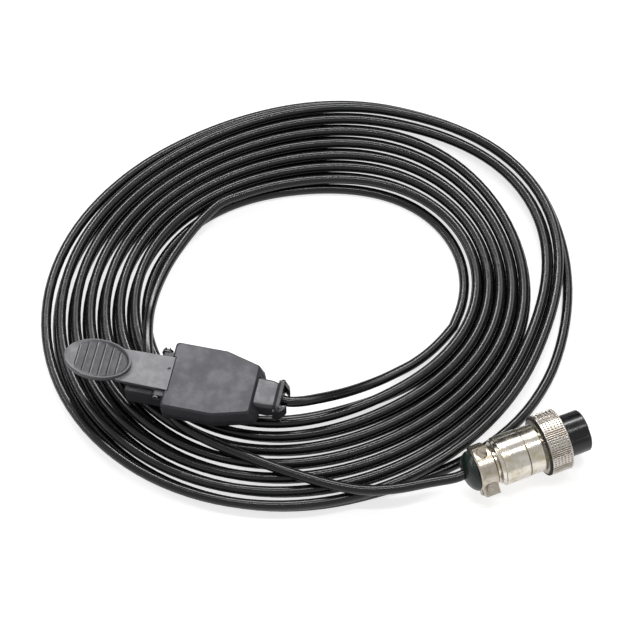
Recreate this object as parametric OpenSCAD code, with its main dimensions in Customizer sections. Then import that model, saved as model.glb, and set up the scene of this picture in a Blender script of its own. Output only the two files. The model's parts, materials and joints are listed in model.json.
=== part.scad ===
// Hand switch for a TIG torch: a sprung thumb lever over a small snap switch, with a coiled two core
// cord and a metal screw plug. Millimetres. +X runs from the thumb pad to the cord, +Z out of the top.
// The origin is the middle of the switch's box, with the cord and its plug left out.

/* [Housing] */
// Length of the housing's flat top
top_l = 29.2; // [26:0.1:34]
// Width of the flat top
top_w = 24.4; // [22:0.1:28]
// Width of the flat top at its cord end
top_end_w = 17.8; // [14:0.1:20]
// Length of the housing's parallel part
parallel_l = 17.3; // [14:0.1:20]
// How far the end slopes out from the top to the joint of the shells
end_slope = 2.3; // [1:0.1:3]
// Width of the housing at the foot of that slope
nose_w = 12.8; // [12:0.1:14]
// How far the sides slope out from the top to the joint of the shells
side_draft = 0.3; // [0.1:0.1:0.6]
// Height of the cover above the joint of the shells
cover_h = 4.5; // [4.3:0.1:6]
// Depth of the base below the joint of the shells
base_h = 6; // [5.8:0.1:8]
// Wall of the cover
wall = 1.6; // [1.2:0.1:1.8]
// Wall of the base at the joint
base_wall = 2.6; // [2.4:0.1:3]
// Floor of the base
floor_t = 1.1; // [0.9:0.1:1.4]
// Rounding of the upright corners
corner_r = 1.2; // [0.8:0.1:2]
// Rounding of the top edge
edge_r = 0.6; // [0.3:0.1:0.9]
// How far the base draws in at its lower edge
bilge = 2.4; // [1.6:0.1:2.6]

/* [Lever] */
// Width of the lever at its root
lever_w = 12.4; // [11:0.1:13]
// Width of the lever at the thumb pad
lever_neck_w = 11.8; // [10:0.1:12]
// Thickness of the lever plate
lever_t = 1.5; // [1.3:0.1:1.7]
// How far the lever's root reaches into the cover
lever_root = 1; // [0.6:0.1:1.4]
// Length of the parallel part of the lever, from the cover's face
lever_l = 16.2; // [15:0.1:18]
// Running gap round the lever
lever_gap = 0.3; // [0.2:0.05:0.4]
// Gap under the lever's root at rest
stop_gap = 0.1; // [0.05:0.05:0.2]

/* [Thumb pad] */
// Length of the oval pad
pad_l = 22.6; // [20:0.1:25]
// Width of the oval pad
pad_w = 14.4; // [13:0.1:16]
// Reach of the pad's tip from the cover's face
pad_reach = 35.1; // [34:0.1:38]
// Rise of the pad's rim above the lever
pad_rise = 1.5; // [1.2:0.1:2]
// Width of the pad's rim
pad_rim = 0.9; // [0.7:0.1:1.2]
// Spacing of the grip ridges
ridge_pitch = 2.88; // [2.6:0.02:3]
// Height of the grip ridges
ridge_h = 0.45; // [0.3:0.05:0.6]

/* [Hinge] */
// Diameter of the hinge pin
pin_d = 1.6; // [1.4:0.1:1.8]
// Distance of the hinge from the cover's face
hinge_out = 2.3; // [2.1:0.1:2.6]
// Height of the hinge above the joint of the shells
hinge_z = 2; // [1.8:0.1:2.2]
// Radius of the lugs round the pin
lug_r = 1.5; // [1.4:0.1:1.6]
// Thickness of the cover's lugs
lug_t = 1.7; // [1.4:0.1:2]
// Radial clearance of the lever on its pin
pin_gap = 0.05; // [0.03:0.01:0.08]
// Wire of the return spring
spring_wire = 0.44; // [0.36:0.02:0.5]
// Mean radius of the return spring
spring_r = 1.35; // [1.25:0.05:1.4]

/* [Snap switch] */
// Length of the snap switch, across the lever
snap_l = 12.8; // [12:0.1:13.4]
// Width of the snap switch, along the lever
snap_w = 5.8; // [5.4:0.1:6.2]
// Height of the snap switch
snap_h = 6.5; // [6.3:0.1:7]
// Plunger's distance from the hinge
plunger_arm = 6.5; // [6.3:0.1:6.8]
// Diameter of the plunger
plunger_d = 1.8; // [1.4:0.1:2.2]
// Height of the plunger above its case
plunger_up = 0.9; // [0.8:0.05:1]

/* [Cord] */
// Diameter of the cord
cord_d = 3.5; // [3.4:0.1:3.5]
// Diameter of each insulated core
core_d = 1; // [0.8:0.1:1.2]
// Whole turns in each layer of the coil
layer_turns = 7; // [7:1:7]
// Clear gap from one layer of the coil to the next
layer_gap = 0.45; // [0.45:0.05:0.6]

/* [Plug] */
// Diameter of the coupling ring
ring_d = 20.6; // [20:0.1:21.4]
// Length of the coupling ring
ring_l = 8.4; // [8:0.1:9]
// Diameter of the barrel
barrel_d = 16.4; // [15.8:0.1:17]
// Length of the barrel
barrel_l = 15.1; // [14.6:0.1:17]
// Diameter of the contact insert's nose
insert_d = 14.2; // [13.8:0.1:14.4]
// Reach of the insert beyond the ring
insert_out = 8.2; // [7:0.1:10]
// Distance between the two contacts
contact_pitch = 5.6; // [5:0.1:6.4]
// Bore of each socket contact
contact_bore = 1.5; // [1.2:0.1:1.6]
// Number of teeth of the grip round the ring
grip_teeth = 60; // [40:2:72]

/* [Hidden] */
$fn = 48;
over = 0.01;            // overrun of a cut
slice_t = 0.01;         // thickness of the slices that a hull joins
fit = 0.05;             // gap between pieces that sit in each other

housing_w = top_w + 2 * side_draft;
housing_l = top_l + end_slope;
claw_out = 2.1;         // reach of the claws beyond the collar
collar_t = 2.2;
boot_l = 6.5;
boot_start = top_l + 0.13 * end_slope;
corner_out = 0.5 * end_slope;                   // slope of the end at its corners
boot_end = boot_start + boot_l;
collar_end = boot_end + collar_t;
switch_l = pad_reach + collar_end + claw_out;
face_x = pad_reach - switch_l / 2;              // the cover's left face
joint_z = (base_h - cover_h - pad_rise) / 2;    // the joint of the two shells

lever_z = cover_h - lever_t;
notch_w = lever_w + 2 * lever_gap;
root_wall = 2 * wall;
lug_in = lever_w / 2 + lever_gap;
lug_out = lug_in + lug_t;
ear_t = 1.2;
pin_head_t = 0.35 * pin_d;
washer_t = 0.5;
clip_t = 0.5;
clip_at = washer_t + 3 * fit;                   // the clip's groove, from the far lug's face
pin_out = clip_at + clip_t + 0.3 * pin_d;

pod_wall = 1.4;
pod_side = 1;
pod_top = 1.5;
snap_x = -hinge_out - plunger_arm;
snap_z = floor_t - base_h;
snap_top = snap_z + snap_h;
pod_l = snap_w + 2 * fit + pod_wall;
pod_left = snap_x - snap_w / 2 - fit - pod_wall;
pod_right = -hinge_out - lug_r - lever_gap;
pod_w = snap_l + 2 * fit + 2 * pod_side;
link_top = -1;
tunnel_w = 11.6;
tunnel_h = 2.6;
blade_y = -4.9;                                 // the blade's pivot
plunger_y = blade_y + plunger_arm;
lid_t = 1.4;
snap_wall = 0.8;
blade_t = 0.2;
blade_w = 2;
blade_l = 9.9;
blade_top = -0.6;
tab_w = 0.9;
tab_t = 0.5;
tab_l = 3.2;
tab_low = 0.7;
tab_z = snap_z + tab_low;

screw_d = 2;
screw_head_d = 3.6;
screw_head_t = 0.7;
boss_d = 4.6;
boss_x_shares = [0.185, 0.767];
boss_y_shares = [0.288, 0.232];

saddle_x = 16;
saddle_l = 4;
saddle_w = 13;
saddle_gap = 0.3;
bar_t = 1.3;
bar_screw_y = 4.6;
bar_screw_d = 1.6;
bar_head_d = 3.2;
bar_head_t = 1;
jacket_start = 12.5;

boot_w = 10.5;
boot_h = 7.6;
boot_z = -0.1;
boot_r = 1.4;
boot_end_r = 1.6;
boot_neck_d = 5.7;
flange_t = 1.2;
flange_end = top_l - wall - fit;
flange_w = 8.4;
flange_h = 6.8;
flange_z = -0.8;
collar_w = 12;
collar_h = 9;
collar_r = 1.6;

stack_gap = 0.36;                               // from the cord's third level up to the base
level_h = cord_d + layer_gap;
floor_cut = cord_d / 10;
bed_h = cord_d / 2 - floor_cut;                 // the lowest turns' middle above the floor
ground_z = joint_z - base_h - stack_gap - cord_d / 2 - 2 * level_h - bed_h;

// Shape functions and the general parts

function ellipse_points(a, b, n) = [for (i = [0 : n - 1]) [a * cos(360 * i / n), b * sin(360 * i / n)]];
function mirrored(p) = concat(p, [for (i = [len(p) - 1 : -1 : 0]) [p[i][0], -p[i][1]]]);
function smooth(x) = let (t = max(0, min(1, x))) t * t * (3 - 2 * t);
function bell(angle, at, half) = let (x = (angle - at + 3780) % 360 - 180)
    abs(x) < half ? pow(cos(90 * x / half), 2) : 0;
function unit(v) = v / norm(v);
function between(a, b, t) = a + (b - a) * t;

// Rings of points along a path, each square to it, with one corner pair level
function ring(p, along, up, r, sides, low) = let (side = unit(cross(along, up)), top = cross(side, along))
    [for (k = [0 : sides - 1]) let (a = 360 * k / sides, q = p + r * (cos(a) * side + sin(a) * top))
        [q[0], q[1], max(q[2], low)]];
function along_path(p, i) = i == 0 ? unit(p[1] - p[0]) :
    i == len(p) - 1 ? unit(p[i] - p[i - 1]) : unit(unit(p[i] - p[i - 1]) + unit(p[i + 1] - p[i]));

module tube(p, r, sides, up = [0, 0, 1], low = -1000 * cord_d) {
    n = len(p);
    points = [for (i = [0 : n - 1]) each ring(p[i], along_path(p, i), up, r, sides, low)];
    walls = [for (i = [0 : n - 2], k = [0 : sides - 1]) let (a = i * sides + k,
        b = i * sides + (k + 1) % sides) each [[a, b, b + sides], [a, b + sides, a + sides]]];
    start = [for (k = [1 : sides - 2]) [0, k + 1, k]];
    last = (n - 1) * sides;
    end = [for (k = [1 : sides - 2]) [last, last + k, last + k + 1]];
    polyhedron(points = points, faces = concat(walls, start, end), convexity = 10);
}

// A smooth line through chosen points
function curve_at(a, b, c, d, t) = 0.5 * (2 * b + (c - a) * t + (2 * a - 5 * b + 4 * c - d) * t * t
    + (3 * b - a - 3 * c + d) * t * t * t);
function curve(p, n) = concat([for (i = [0 : len(p) - 2], k = [0 : n - 1])
    curve_at(p[max(i - 1, 0)], p[i], p[i + 1], p[min(i + 2, len(p) - 1)], k / n)], [p[len(p) - 1]]);

module at_face() translate([face_x, 0, joint_z]) children();
module across(d, l, x, z, y) translate([x, y, z]) rotate([-90, 0, 0]) cylinder(d = d, h = l);
module along(d, l, x) translate([x, 0, 0]) rotate([0, 90, 0]) cylinder(d = d, h = l);
module block(x0, x1, y0, y1, z0, z1) translate([x0, y0, z0]) cube([x1 - x0, y1 - y0, z1 - z0]);
module slice(z, points, inset = 0, r = corner_r) translate([0, 0, z]) linear_extrude(slice_t)
    offset(r = r, $fn = 24) offset(delta = -r - inset) polygon(points);

// Plans of the housing

joint_plan = mirrored([[0, housing_w / 2], [parallel_l, housing_w / 2],
    [top_l + corner_out, top_end_w / 2 + side_draft], [housing_l, nose_w / 2]]);
function drawn_in(t) = [for (p = joint_plan) [p[0], p[1] - sign(p[1]) * t]];
top_plan = mirrored([[0, top_w / 2], [parallel_l, top_w / 2], [top_l, top_end_w / 2]]);
function room_plan(left, t, right) = mirrored([[left, housing_w / 2 - t],
    [parallel_l - t / 2, housing_w / 2 - t],
    [right, top_end_w / 2 - t + side_draft]]);

module screw_places() for (i = [0, 1], s = [-1, 1])
    translate([boss_x_shares[i] * top_l, s * boss_y_shares[i] * housing_w, 0]) children();

module boot_pocket() {
    block(boot_start - fit * 2, housing_l + wall, -boot_w / 2 - 2 * fit, boot_w / 2 + 2 * fit,
        -base_h - over, cover_h + over);
    along(boot_neck_d + 2 * fit, boot_start, 0.7 * top_l);
}

module lug(s) {
    y = s > 0 ? lug_in : -lug_out;
    across(2 * lug_r, lug_t, -hinge_out, hinge_z, y);
    block(-hinge_out, over, y, y + lug_t, hinge_z - lug_r, hinge_z + lug_r);
}

module housing_cover() color([0.44, 0.44, 0.46]) at_face() difference() {
    union() {
        difference() {
            hull() {
                slice(0, joint_plan);
                slice(cover_h - edge_r, top_plan);
                slice(cover_h - slice_t, top_plan, edge_r);
            }
            translate([0, 0, -over]) linear_extrude(cover_h - wall + over)
                polygon(room_plan(root_wall, wall, top_l - wall));
        }
        screw_places() cylinder(d = boss_d, h = cover_h - wall + over);
        lug(1);
        lug(-1);
    }
    block(-over, lever_root + lever_gap, -notch_w / 2, notch_w / 2, lever_z - stop_gap, cover_h + over);
    across(pin_d + fit, 2 * lug_out + 2 * over, -hinge_out, hinge_z, -lug_out - over);
    screw_places() translate([0, 0, -over]) cylinder(d = screw_d + fit, h = cover_h - wall);
    boot_pocket();
}

module housing_base() color([0.42, 0.42, 0.44]) at_face() difference() {
    union() {
        difference() {
            hull() {
                slice(-slice_t, joint_plan);
                slice(0.8 * -base_h, drawn_in(0.4 * bilge));
                slice(-base_h, drawn_in(bilge));
            }
            translate([0, 0, snap_z]) linear_extrude(base_h)
                polygon(room_plan(wall, base_wall, top_l - wall));
        }
        screw_places() translate([0, 0, snap_z - over]) cylinder(d = boss_d, h = -snap_z + over);
        block(saddle_x - saddle_l / 2, saddle_x + saddle_l / 2, -saddle_w / 2, saddle_w / 2,
            snap_z - over, -saddle_gap);
        block(pod_left, pod_right, -pod_w / 2, pod_w / 2, -base_h, pod_top);
        block(pod_right - over, wall + over, -pod_w / 2, pod_w / 2, -base_h, link_top);
        block(pod_right - over, bilge + corner_r, -pod_w / 2, pod_w / 2, -base_h, snap_z);
    }
    block(snap_x - snap_w / 2 - fit, snap_x + snap_w / 2 + fit, -snap_l / 2 - fit, snap_l / 2 + fit,
        snap_z, pod_top + over);
    block(snap_x, wall + over, -tunnel_w / 2, tunnel_w / 2, snap_z, snap_z + tunnel_h);
    screw_places() translate([0, 0, -base_h - over]) {
        cylinder(d = screw_d + 6 * fit, h = base_h + 2 * over);
        cylinder(d = screw_head_d + 2 * fit, h = screw_head_t + over);
    }
    along(cord_d + fit, 2 * saddle_l, saddle_x - saddle_l);
    for (s = [-1, 1]) translate([saddle_x, s * bar_screw_y, snap_z + floor_t])
        cylinder(d = bar_screw_d + fit, h = base_h);
    boot_pocket();
}

// The lever and its pad

lever_plan = mirrored([[lever_root, lever_w / 2], [-lever_l, lever_neck_w / 2],
    [-lever_l - 0.12 * lever_neck_w, 0.44 * lever_neck_w], [-0.8 * pad_reach, 0.3 * lever_neck_w]]);

module lever() color([0.68, 0.68, 0.7]) at_face() difference() {
    union() {
        translate([0, 0, lever_z]) linear_extrude(lever_t) polygon(lever_plan);
        for (s = [-1, 1]) {
            y = s > 0 ? lever_w / 2 - ear_t : -lever_w / 2;
            across(2 * lug_r, ear_t, -hinge_out, hinge_z, y);
            block(-hinge_out - lug_r, -hinge_out + lug_r, y, y + ear_t, hinge_z, lever_z + over);
        }
        translate([snap_x, plunger_y, snap_top + plunger_up + fit])
            cylinder(d = 1.3 * plunger_d, h = lever_z - snap_top - plunger_up);
    }
    across(pin_d + 2 * pin_gap, lever_w + 2 * over, -hinge_out, hinge_z, -lever_w / 2 - over);
    block(-hinge_out - 4 * spring_r, -hinge_out + 1.3 * spring_r, -1.3 * spring_r, 1.3 * spring_r,
        lever_z - over, hinge_z + spring_r + spring_wire / 2 + 2 * fit);
    translate([lever_root - 0.08 * lever_w, 0.12 * lever_w, cover_h - 0.3 * lever_t])
        cylinder(d = 0.1 * lever_w, h = lever_t);
}

pad_x = pad_l / 2 - pad_reach;
pad_top = cover_h + pad_rise;
pad_under = 0.2;
pad_low = lever_z - pad_under;
dish_up = 0.5;
rim_drop = 0.1;
dish_low = cover_h + dish_up;
ridge_shares = [-2.5, -1.5, -0.5, 0.5, 1.5, 2.5];
ridge_w = 0.3 * ridge_pitch;
dish_half = pad_l / 2 - pad_rim;
function dish_z(x) = between(pad_top - rim_drop, dish_low, smooth(0.5 + 0.62 * x / dish_half));
dish_profile = concat([[-dish_half, 2 * pad_top], [-dish_half, dish_z(-dish_half)]],
    [for (s = ridge_shares) let (x = (s - 0.1) * ridge_pitch) each [[x - ridge_w, dish_z(x - ridge_w)],
        [x, dish_z(x) + ridge_h], [x + ridge_w / 3, dish_z(x) + ridge_h],
        [x + ridge_w / 2, dish_z(x + ridge_w / 2)]]],
    [[dish_half, dish_z(dish_half)], [dish_half, 2 * pad_top]]);

module pad_slice(z, inset) translate([0, 0, z]) linear_extrude(slice_t)
    polygon(ellipse_points(pad_l / 2 - inset, pad_w / 2 - inset, 48));

module thumb_pad() color([0.5, 0.5, 0.52]) at_face() difference() {
    translate([pad_x, 0, 0]) difference() {
        hull() {
            pad_slice(pad_low, pad_rim);
            pad_slice(between(pad_low, pad_top, 0.25), pad_rim / 4);
            pad_slice(between(pad_low, pad_top, 0.8), 0);
            pad_slice(pad_top - slice_t, pad_rim / 3);
        }
        intersection() {
            rotate([90, 0, 0]) translate([0, 0, -pad_w / 2]) linear_extrude(pad_w) polygon(dish_profile);
            translate([0, 0, cover_h]) linear_extrude(3 * pad_rise)
                polygon(ellipse_points(dish_half, pad_w / 2 - pad_rim, 48));
        }
    }
    translate([0, 0, pad_low - over]) linear_extrude(cover_h + fit - pad_low) offset(delta = fit)
        polygon(lever_plan);
}

module hinge_pin() color([0.78, 0.78, 0.8]) at_face() difference() {
    union() {
        across(pin_d, 2 * lug_out + pin_out + fit, -hinge_out, hinge_z, -lug_out - fit);
        across(1.55 * pin_d, pin_head_t, -hinge_out, hinge_z, -lug_out - fit - pin_head_t + over);
    }
    translate([-hinge_out, lug_out + clip_at + fit, hinge_z]) rotate([-90, 0, 0]) difference() {
        cylinder(d = 2 * pin_d, h = clip_t + 2 * fit);
        cylinder(d = 0.7 * pin_d, h = clip_t + 2 * fit);
    }
}

module pin_washer() color([0.3, 0.3, 0.32]) at_face() difference() {
    across(2.4 * pin_d, washer_t, -hinge_out, hinge_z, lug_out + fit);
    across(pin_d + 2 * fit, 2 * washer_t, -hinge_out, hinge_z, lug_out);
}

module pin_clip() color([0.6, 0.6, 0.62]) at_face()
    translate([-hinge_out, lug_out + clip_at + 2 * fit, hinge_z]) rotate([-90, 0, 0]) linear_extrude(clip_t)
    difference() {
        union() {
            circle(d = 2.2 * pin_d);
            for (s = [-1, 1]) polygon([[s * 0.22 * pin_d, 0], [s * 0.7 * pin_d, 0],
                [s * 0.52 * pin_d, -1.62 * pin_d], [s * 0.38 * pin_d, -1.62 * pin_d]]);
        }
        circle(d = 0.7 * pin_d + fit);
        polygon([[-0.22 * pin_d, 0], [0.22 * pin_d, 0], [0.22 * pin_d, -2 * pin_d],
            [-0.22 * pin_d, -2 * pin_d]]);
    }

spring_turns = 3.25;
spring_pitch = 2 * spring_wire;
spring_path = let (y0 = -spring_turns * spring_pitch / 2) concat(
    [[-3.2 * spring_r, y0, spring_r], [-1.6 * spring_r, y0, spring_r]],
    [for (i = [0 : 39]) let (a = 360 * spring_turns * i / 39)
        [spring_r * sin(a), y0 + spring_pitch * a / 360, spring_r * cos(a)]],
    [[spring_r, -y0, -0.7 * spring_r], [spring_r, -y0, -2.1 * spring_r]]);

module return_spring() color([0.7, 0.7, 0.72]) at_face() translate([-hinge_out, 0, hinge_z])
    tube(spring_path, spring_wire / 2, 6, [0, 1, 0]);

// The snap switch

module snap_case() color([0.1, 0.1, 0.11]) at_face() difference() {
    block(snap_x - snap_w / 2, snap_x + snap_w / 2, -snap_l / 2, snap_l / 2, snap_z, snap_top - lid_t);
    block(snap_x - snap_w / 2 + snap_wall, snap_x + snap_w / 2 - snap_wall, -snap_l / 2 + snap_wall,
        snap_l / 2 - snap_wall, snap_z + snap_wall, snap_top);
    for (s = [-1, 0, 1]) block(snap_x - tab_w, snap_x + snap_w, s * -blade_y - tab_w / 2 - fit,
        s * -blade_y + tab_w / 2 + fit, tab_z - fit, tab_z + tab_t + fit);
}

module snap_lid() color([0.34, 0.34, 0.36]) at_face() difference() {
    block(snap_x - snap_w / 2, snap_x + snap_w / 2, -snap_l / 2, snap_l / 2, snap_top - lid_t, snap_top);
    translate([snap_x, plunger_y, snap_top - lid_t - over]) {
        cylinder(d = plunger_d + 2 * fit, h = 2 * lid_t);
        cylinder(d = 1.4 * plunger_d + 2 * fit, h = lid_t / 2);
    }
}

module plunger() color([0.85, 0.85, 0.82]) at_face() translate([snap_x, plunger_y, blade_top + fit]) {
    stem_h = snap_top + plunger_up - blade_top - fit;
    head_h = 0.12 * plunger_d;
    nib_h = 0.25 * plunger_d;
    cylinder(d = 0.5 * plunger_d, h = nib_h + over);
    translate([0, 0, nib_h]) cylinder(d = plunger_d, h = stem_h - nib_h - head_h);
    translate([0, 0, stem_h - head_h]) cylinder(d1 = plunger_d, d2 = 0.6 * plunger_d, h = head_h);
    translate([0, 0, nib_h])
        cylinder(d = 1.4 * plunger_d, h = snap_top - lid_t / 2 - blade_top - 2 * fit - nib_h);
}

module contact_blade() color([0.8, 0.65, 0.35]) at_face() {
    block(snap_x - blade_w / 2, snap_x + blade_w / 2, blade_y, blade_y + blade_l, blade_top - blade_t,
        blade_top);
    translate([snap_x, blade_y + blade_l - blade_w / 2, blade_top - 2 * blade_t])
        cylinder(d = 0.7 * blade_w, h = 3 * blade_t);
    translate([snap_x - blade_w / 2, blade_y, blade_top - blade_t / 2]) rotate([0, 90, 0])
        cylinder(d = blade_t, h = blade_w, $fn = 24);
}

// The common post carries the blade's heel; the middle post makes and the end post hooks over the tip
module snap_terminals() color([0.82, 0.7, 0.4]) at_face() {
    top_of = [blade_top - blade_t - fit, tab_z + tab_t, blade_top - 7.5 * blade_t];
    for (i = [0 : 2]) let (y = (i - 1) * -blade_y) {
        block(snap_x - tab_w / 2, tab_end, y - tab_w / 2, y + tab_w / 2, tab_z, tab_z + tab_t);
        block(snap_x - tab_w / 2, snap_x + tab_w / 2, y - tab_w / 2, y + tab_w / 2, tab_z, top_of[i]);
    }
}

tab_end = snap_x + snap_w / 2 + tab_l;
core_low = tab_z + tab_t + core_d / 2 + fit;
core_y_shares = [1, 0.9, 0.65, 0.31, 0.16, 0.16];
core_x_shares = [0, 0.28, 0.51, 0.77, 0.9, 1];
core_z_shares = [1, 0.98, 0.92, 0.44, 0.1, 0];
core_end = jacket_start - 3 * fit;
function core_route(s) = [for (i = [0 : 5]) [between(tab_end - core_d / 4, core_end, core_x_shares[i]),
    s * blade_y * core_y_shares[i], core_low * core_z_shares[i]]];

module core_wires() at_face() {
    color([0.75, 0.1, 0.1]) tube(core_route(1), core_d / 2, 6);
    color([0.85, 0.85, 0.85]) tube(core_route(-1), core_d / 2, 6);
}

// The cord's end in the housing

module inner_cable() color([0.04, 0.04, 0.04]) at_face()
    along(cord_d, collar_end - 2 * fit - jacket_start, jacket_start);

module clamp_bar() color([0.4, 0.4, 0.42]) at_face() difference() {
    union() {
        block(saddle_x - saddle_l / 2, saddle_x + saddle_l / 2, -saddle_w / 2, saddle_w / 2,
            saddle_gap, saddle_gap + bar_t);
        intersection() {
            along(1.5 * cord_d, saddle_l, saddle_x - saddle_l / 2);
            block(saddle_x - saddle_l, saddle_x + saddle_l, -cord_d, cord_d, saddle_gap, 2 * cord_d);
        }
    }
    along(cord_d + fit, 2 * saddle_l, saddle_x - saddle_l);
    for (s = [-1, 1]) translate([saddle_x, s * bar_screw_y, 0])
        cylinder(d = bar_screw_d + 4 * fit, h = cord_d);
}

module clamp_bar_screws() color([0.7, 0.7, 0.68]) at_face() for (s = [-1, 1])
    translate([saddle_x, s * bar_screw_y, 0]) {
    translate([0, 0, snap_z + floor_t + fit])
        cylinder(d = bar_screw_d, h = saddle_gap + bar_t - snap_z - floor_t);
    translate([0, 0, saddle_gap + bar_t + fit]) difference() {
        cylinder(d = bar_head_d, h = bar_head_t);
        translate([0, 0, bar_head_t]) cube([0.2 * bar_head_d, bar_head_d, bar_head_t], center = true);
    }
}

module housing_screws() color([0.75, 0.75, 0.77]) at_face() screw_places()
    translate([0, 0, -base_h]) difference() {
    union() {
        cylinder(d = screw_head_d, h = screw_head_t - fit);
        cylinder(d = screw_d, h = base_h + cover_h - wall - 4 * fit);
    }
    for (a = [0, 90]) rotate([0, 0, a])
        cube([0.6 * screw_head_d, 0.16 * screw_head_d, screw_head_t], center = true);
}

module upright(x, w, h, z, r, t = slice_t) translate([x, 0, z]) rotate([90, 0, 90]) linear_extrude(t)
    offset(r = r, $fn = 24) square([w - 2 * r, h - 2 * r], center = true);

module cable_boot() color([0.47, 0.47, 0.49]) at_face() difference() {
    union() {
        hull() {
            upright(boot_start, boot_w, boot_h, boot_z, boot_r);
            upright(between(boot_start, boot_end, 0.7), boot_w, boot_h, boot_z, boot_end_r);
            upright(boot_end - slice_t, 0.94 * boot_w, 0.92 * boot_h, boot_z, boot_end_r);
        }
        along(boot_neck_d, boot_l / 2 + wall, flange_end - over);
        translate([flange_end - flange_t, -flange_w / 2, flange_z - flange_h / 2])
            cube([flange_t, flange_w, flange_h]);
    }
    along(cord_d + 2 * fit, 3 * boot_l, boot_start - boot_l);
}

claw_plan = [[0, 0.5 * collar_w - collar_r], [0, 0.5 * collar_w], [collar_t, 0.5 * collar_w],
    [collar_t + 0.75 * claw_out, 0.36 * collar_w], [collar_t + claw_out, 0.25 * collar_w],
    [collar_t + 0.85 * claw_out, 0.22 * collar_w], [collar_t + 0.5 * claw_out, 0.28 * collar_w],
    [collar_t - over, 0.36 * collar_w]];

module claw_collar() color([0.38, 0.38, 0.4]) at_face() translate([boot_end, 0, boot_z]) {
    difference() {
        hull() {
            upright(0, 0.94 * boot_w, 0.92 * boot_h, 0, collar_r);
            upright(0.5 * collar_t, collar_w, collar_h, 0, collar_r);
            upright(collar_t - slice_t, collar_w, collar_h, 0, collar_r);
        }
        translate([0, 0, -boot_z]) along(cord_d + 2 * fit, 3 * collar_t, -collar_t);
    }
    for (s = [-1, 1]) mirror([0, s > 0 ? 0 : 1, 0]) translate([0, 0, -0.28 * collar_h])
        linear_extrude(0.56 * collar_h) polygon(claw_plan);
}

// The coil: two guide curves about its middle, and a share that runs from the inner to the outer one and back

coil_middle = [33.2, 51.3];
inner_r = 48.8;         // mean radius of the inner guide
outer_r = 85.1;           // mean radius of the outer guide
inner_shift = 2.5;      // how far each guide is off the middle, and on which bearing
inner_shift_at = -67;
outer_shift = 3.1;
outer_shift_at = -78;
oval = 5.8;               // how far each guide is from round, and the bearing of its long axis
inner_oval_at = 28;
outer_oval_at = 39;
inner_tri = 1;          // a slight three sided swell
inner_tri_at = 18;
outer_tri = 0.9;
outer_tri_at = -42;
turn_steps = 24;
turn_start = 0;
turn_back = 150 + 360 * layer_turns;
turn_end = 133 + 720 * layer_turns;
end_share = 0.06;
draw_in = 1.4;          // the outer turns lie closer on the right
crescent_out = 4.8;       // the outermost turns stand off at the top right
crescent_in = 2.3;
loose_out = 6.4;          // the last lower turn swings wide on the right
first_in = 1.8;         // the first turn hangs inside the bundle at the front
start_in = 1.2;         // and its start lies a little inside the next turn

function guide(a, r, shift, shift_at, oval_at, tri, tri_at) =
    r + shift * cos(a - shift_at) + oval * cos(2 * (a - oval_at)) + tri * cos(3 * (a - tri_at));
function inner_guide(a) = guide(a, inner_r, inner_shift, inner_shift_at, inner_oval_at, inner_tri,
    inner_tri_at);
function outer_guide(a) = guide(a, outer_r, outer_shift, outer_shift_at, outer_oval_at, outer_tri,
    outer_tri_at);
function coil_share(a) = a < turn_back ? (a - turn_start) / (turn_back - turn_start) :
    1 - (1 - end_share) * (a - turn_back) / (turn_end - turn_back);
function loose_share(a) = let (late = a - 360 * layer_turns) smooth((late + 66) / 50)
    * (1 - smooth((late + 12) / 46));
function coil_r(a) = let (s = coil_share(a), outside = smooth((s - 0.71) / 0.06),
        width = outer_guide(a) - draw_in * bell(a, -15, 75) - inner_guide(a))
    inner_guide(a) + width * s
    + bell(a, 36, 44) * (crescent_out * outside - crescent_in * (1 - outside) * s / 0.7)
    + loose_out * loose_share(a)
    - (a < 345 ? first_in * bell(a, 290, 60) : 0)
    - start_in * (1 - smooth(a / 70));
function coil_point(a) = [coil_middle[0] + coil_r(a) * cos(a), coil_middle[1] + coil_r(a) * sin(a),
    ground_z + bed_h + level_h * smooth((a - turn_back + 90) / 180)];
coil_count = round((turn_end - turn_start) * turn_steps / 360);
coil_turning = [for (i = [0 : coil_count]) coil_point(between(turn_start, turn_end, i / coil_count))];
start_way = unit(coil_point(turn_start + 1) - coil_point(turn_start));
end_way = unit(coil_point(turn_end) - coil_point(turn_end - 1));
coil_start = coil_turning[0] - cord_d * start_way;
coil_end = coil_turning[coil_count] + cord_d * end_way;
coil_path = concat([coil_start], coil_turning, [coil_end]);

// Least gap from each point of the path to every other turn
function off_run(p, a, b) = let (t = (p - a) * (b - a) / norm(b - a) / norm(b - a))
    norm(p - between(a, b, max(0, min(1, t))));
coil_last = len(coil_path) - 1;
coil_gap = min([for (i = [0 : coil_last], j = [0 : coil_last - 1]) if (abs(i - j) > turn_steps / 2)
    off_run(coil_path[i], coil_path[j], coil_path[j + 1])]) - cord_d;
echo(coil_least_gap = coil_gap);

module cable_coil() color([0.05, 0.05, 0.05]) tube(coil_path, cord_d / 2, 6, [0, 0, 1], ground_z);

lead_route = [[35.6, 0, 0], [38.6, 0.1, -0.1], [42.5, 1.8, -1.2], [46.5, 4.5, -3], [50.8, 7.9, -5.5],
    [55.5, 12, -8.3], [60.2, 16.4, -10.8], [65, 21, -12.8], [69.7, 25.8, -14.3], [74.2, 30.6, -15.4],
    [78.4, 36, -15.9],
    [82, 41.8, -16]];
tail_route = [[-5, 77.2, -12.1], [-9.4, 69.4, -12.3], [-13, 60.5, -12.4], [-15.9, 50.8, -12.3],
    [-17.4, 40.5, -11.7],
    [-17.4, 31, -10.7], [-16, 22.5, -9.1], [-13.9, 14.5, -8.2], [-11.4, 7.5, -8.1], [-7.6, 0.2, -8.1],
    [-2.6, -6.5, -8.1], [4, -11.7, -8.1], [13.5, -15.2, -8.1], [25, -18, -8.1], [40.5, -21, -8.1],
    [56, -22.8, -8.1], [67.7, -22.6, -8], [77.8, -20.1, -7.7], [87.8, -16, -7.3]];

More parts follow.
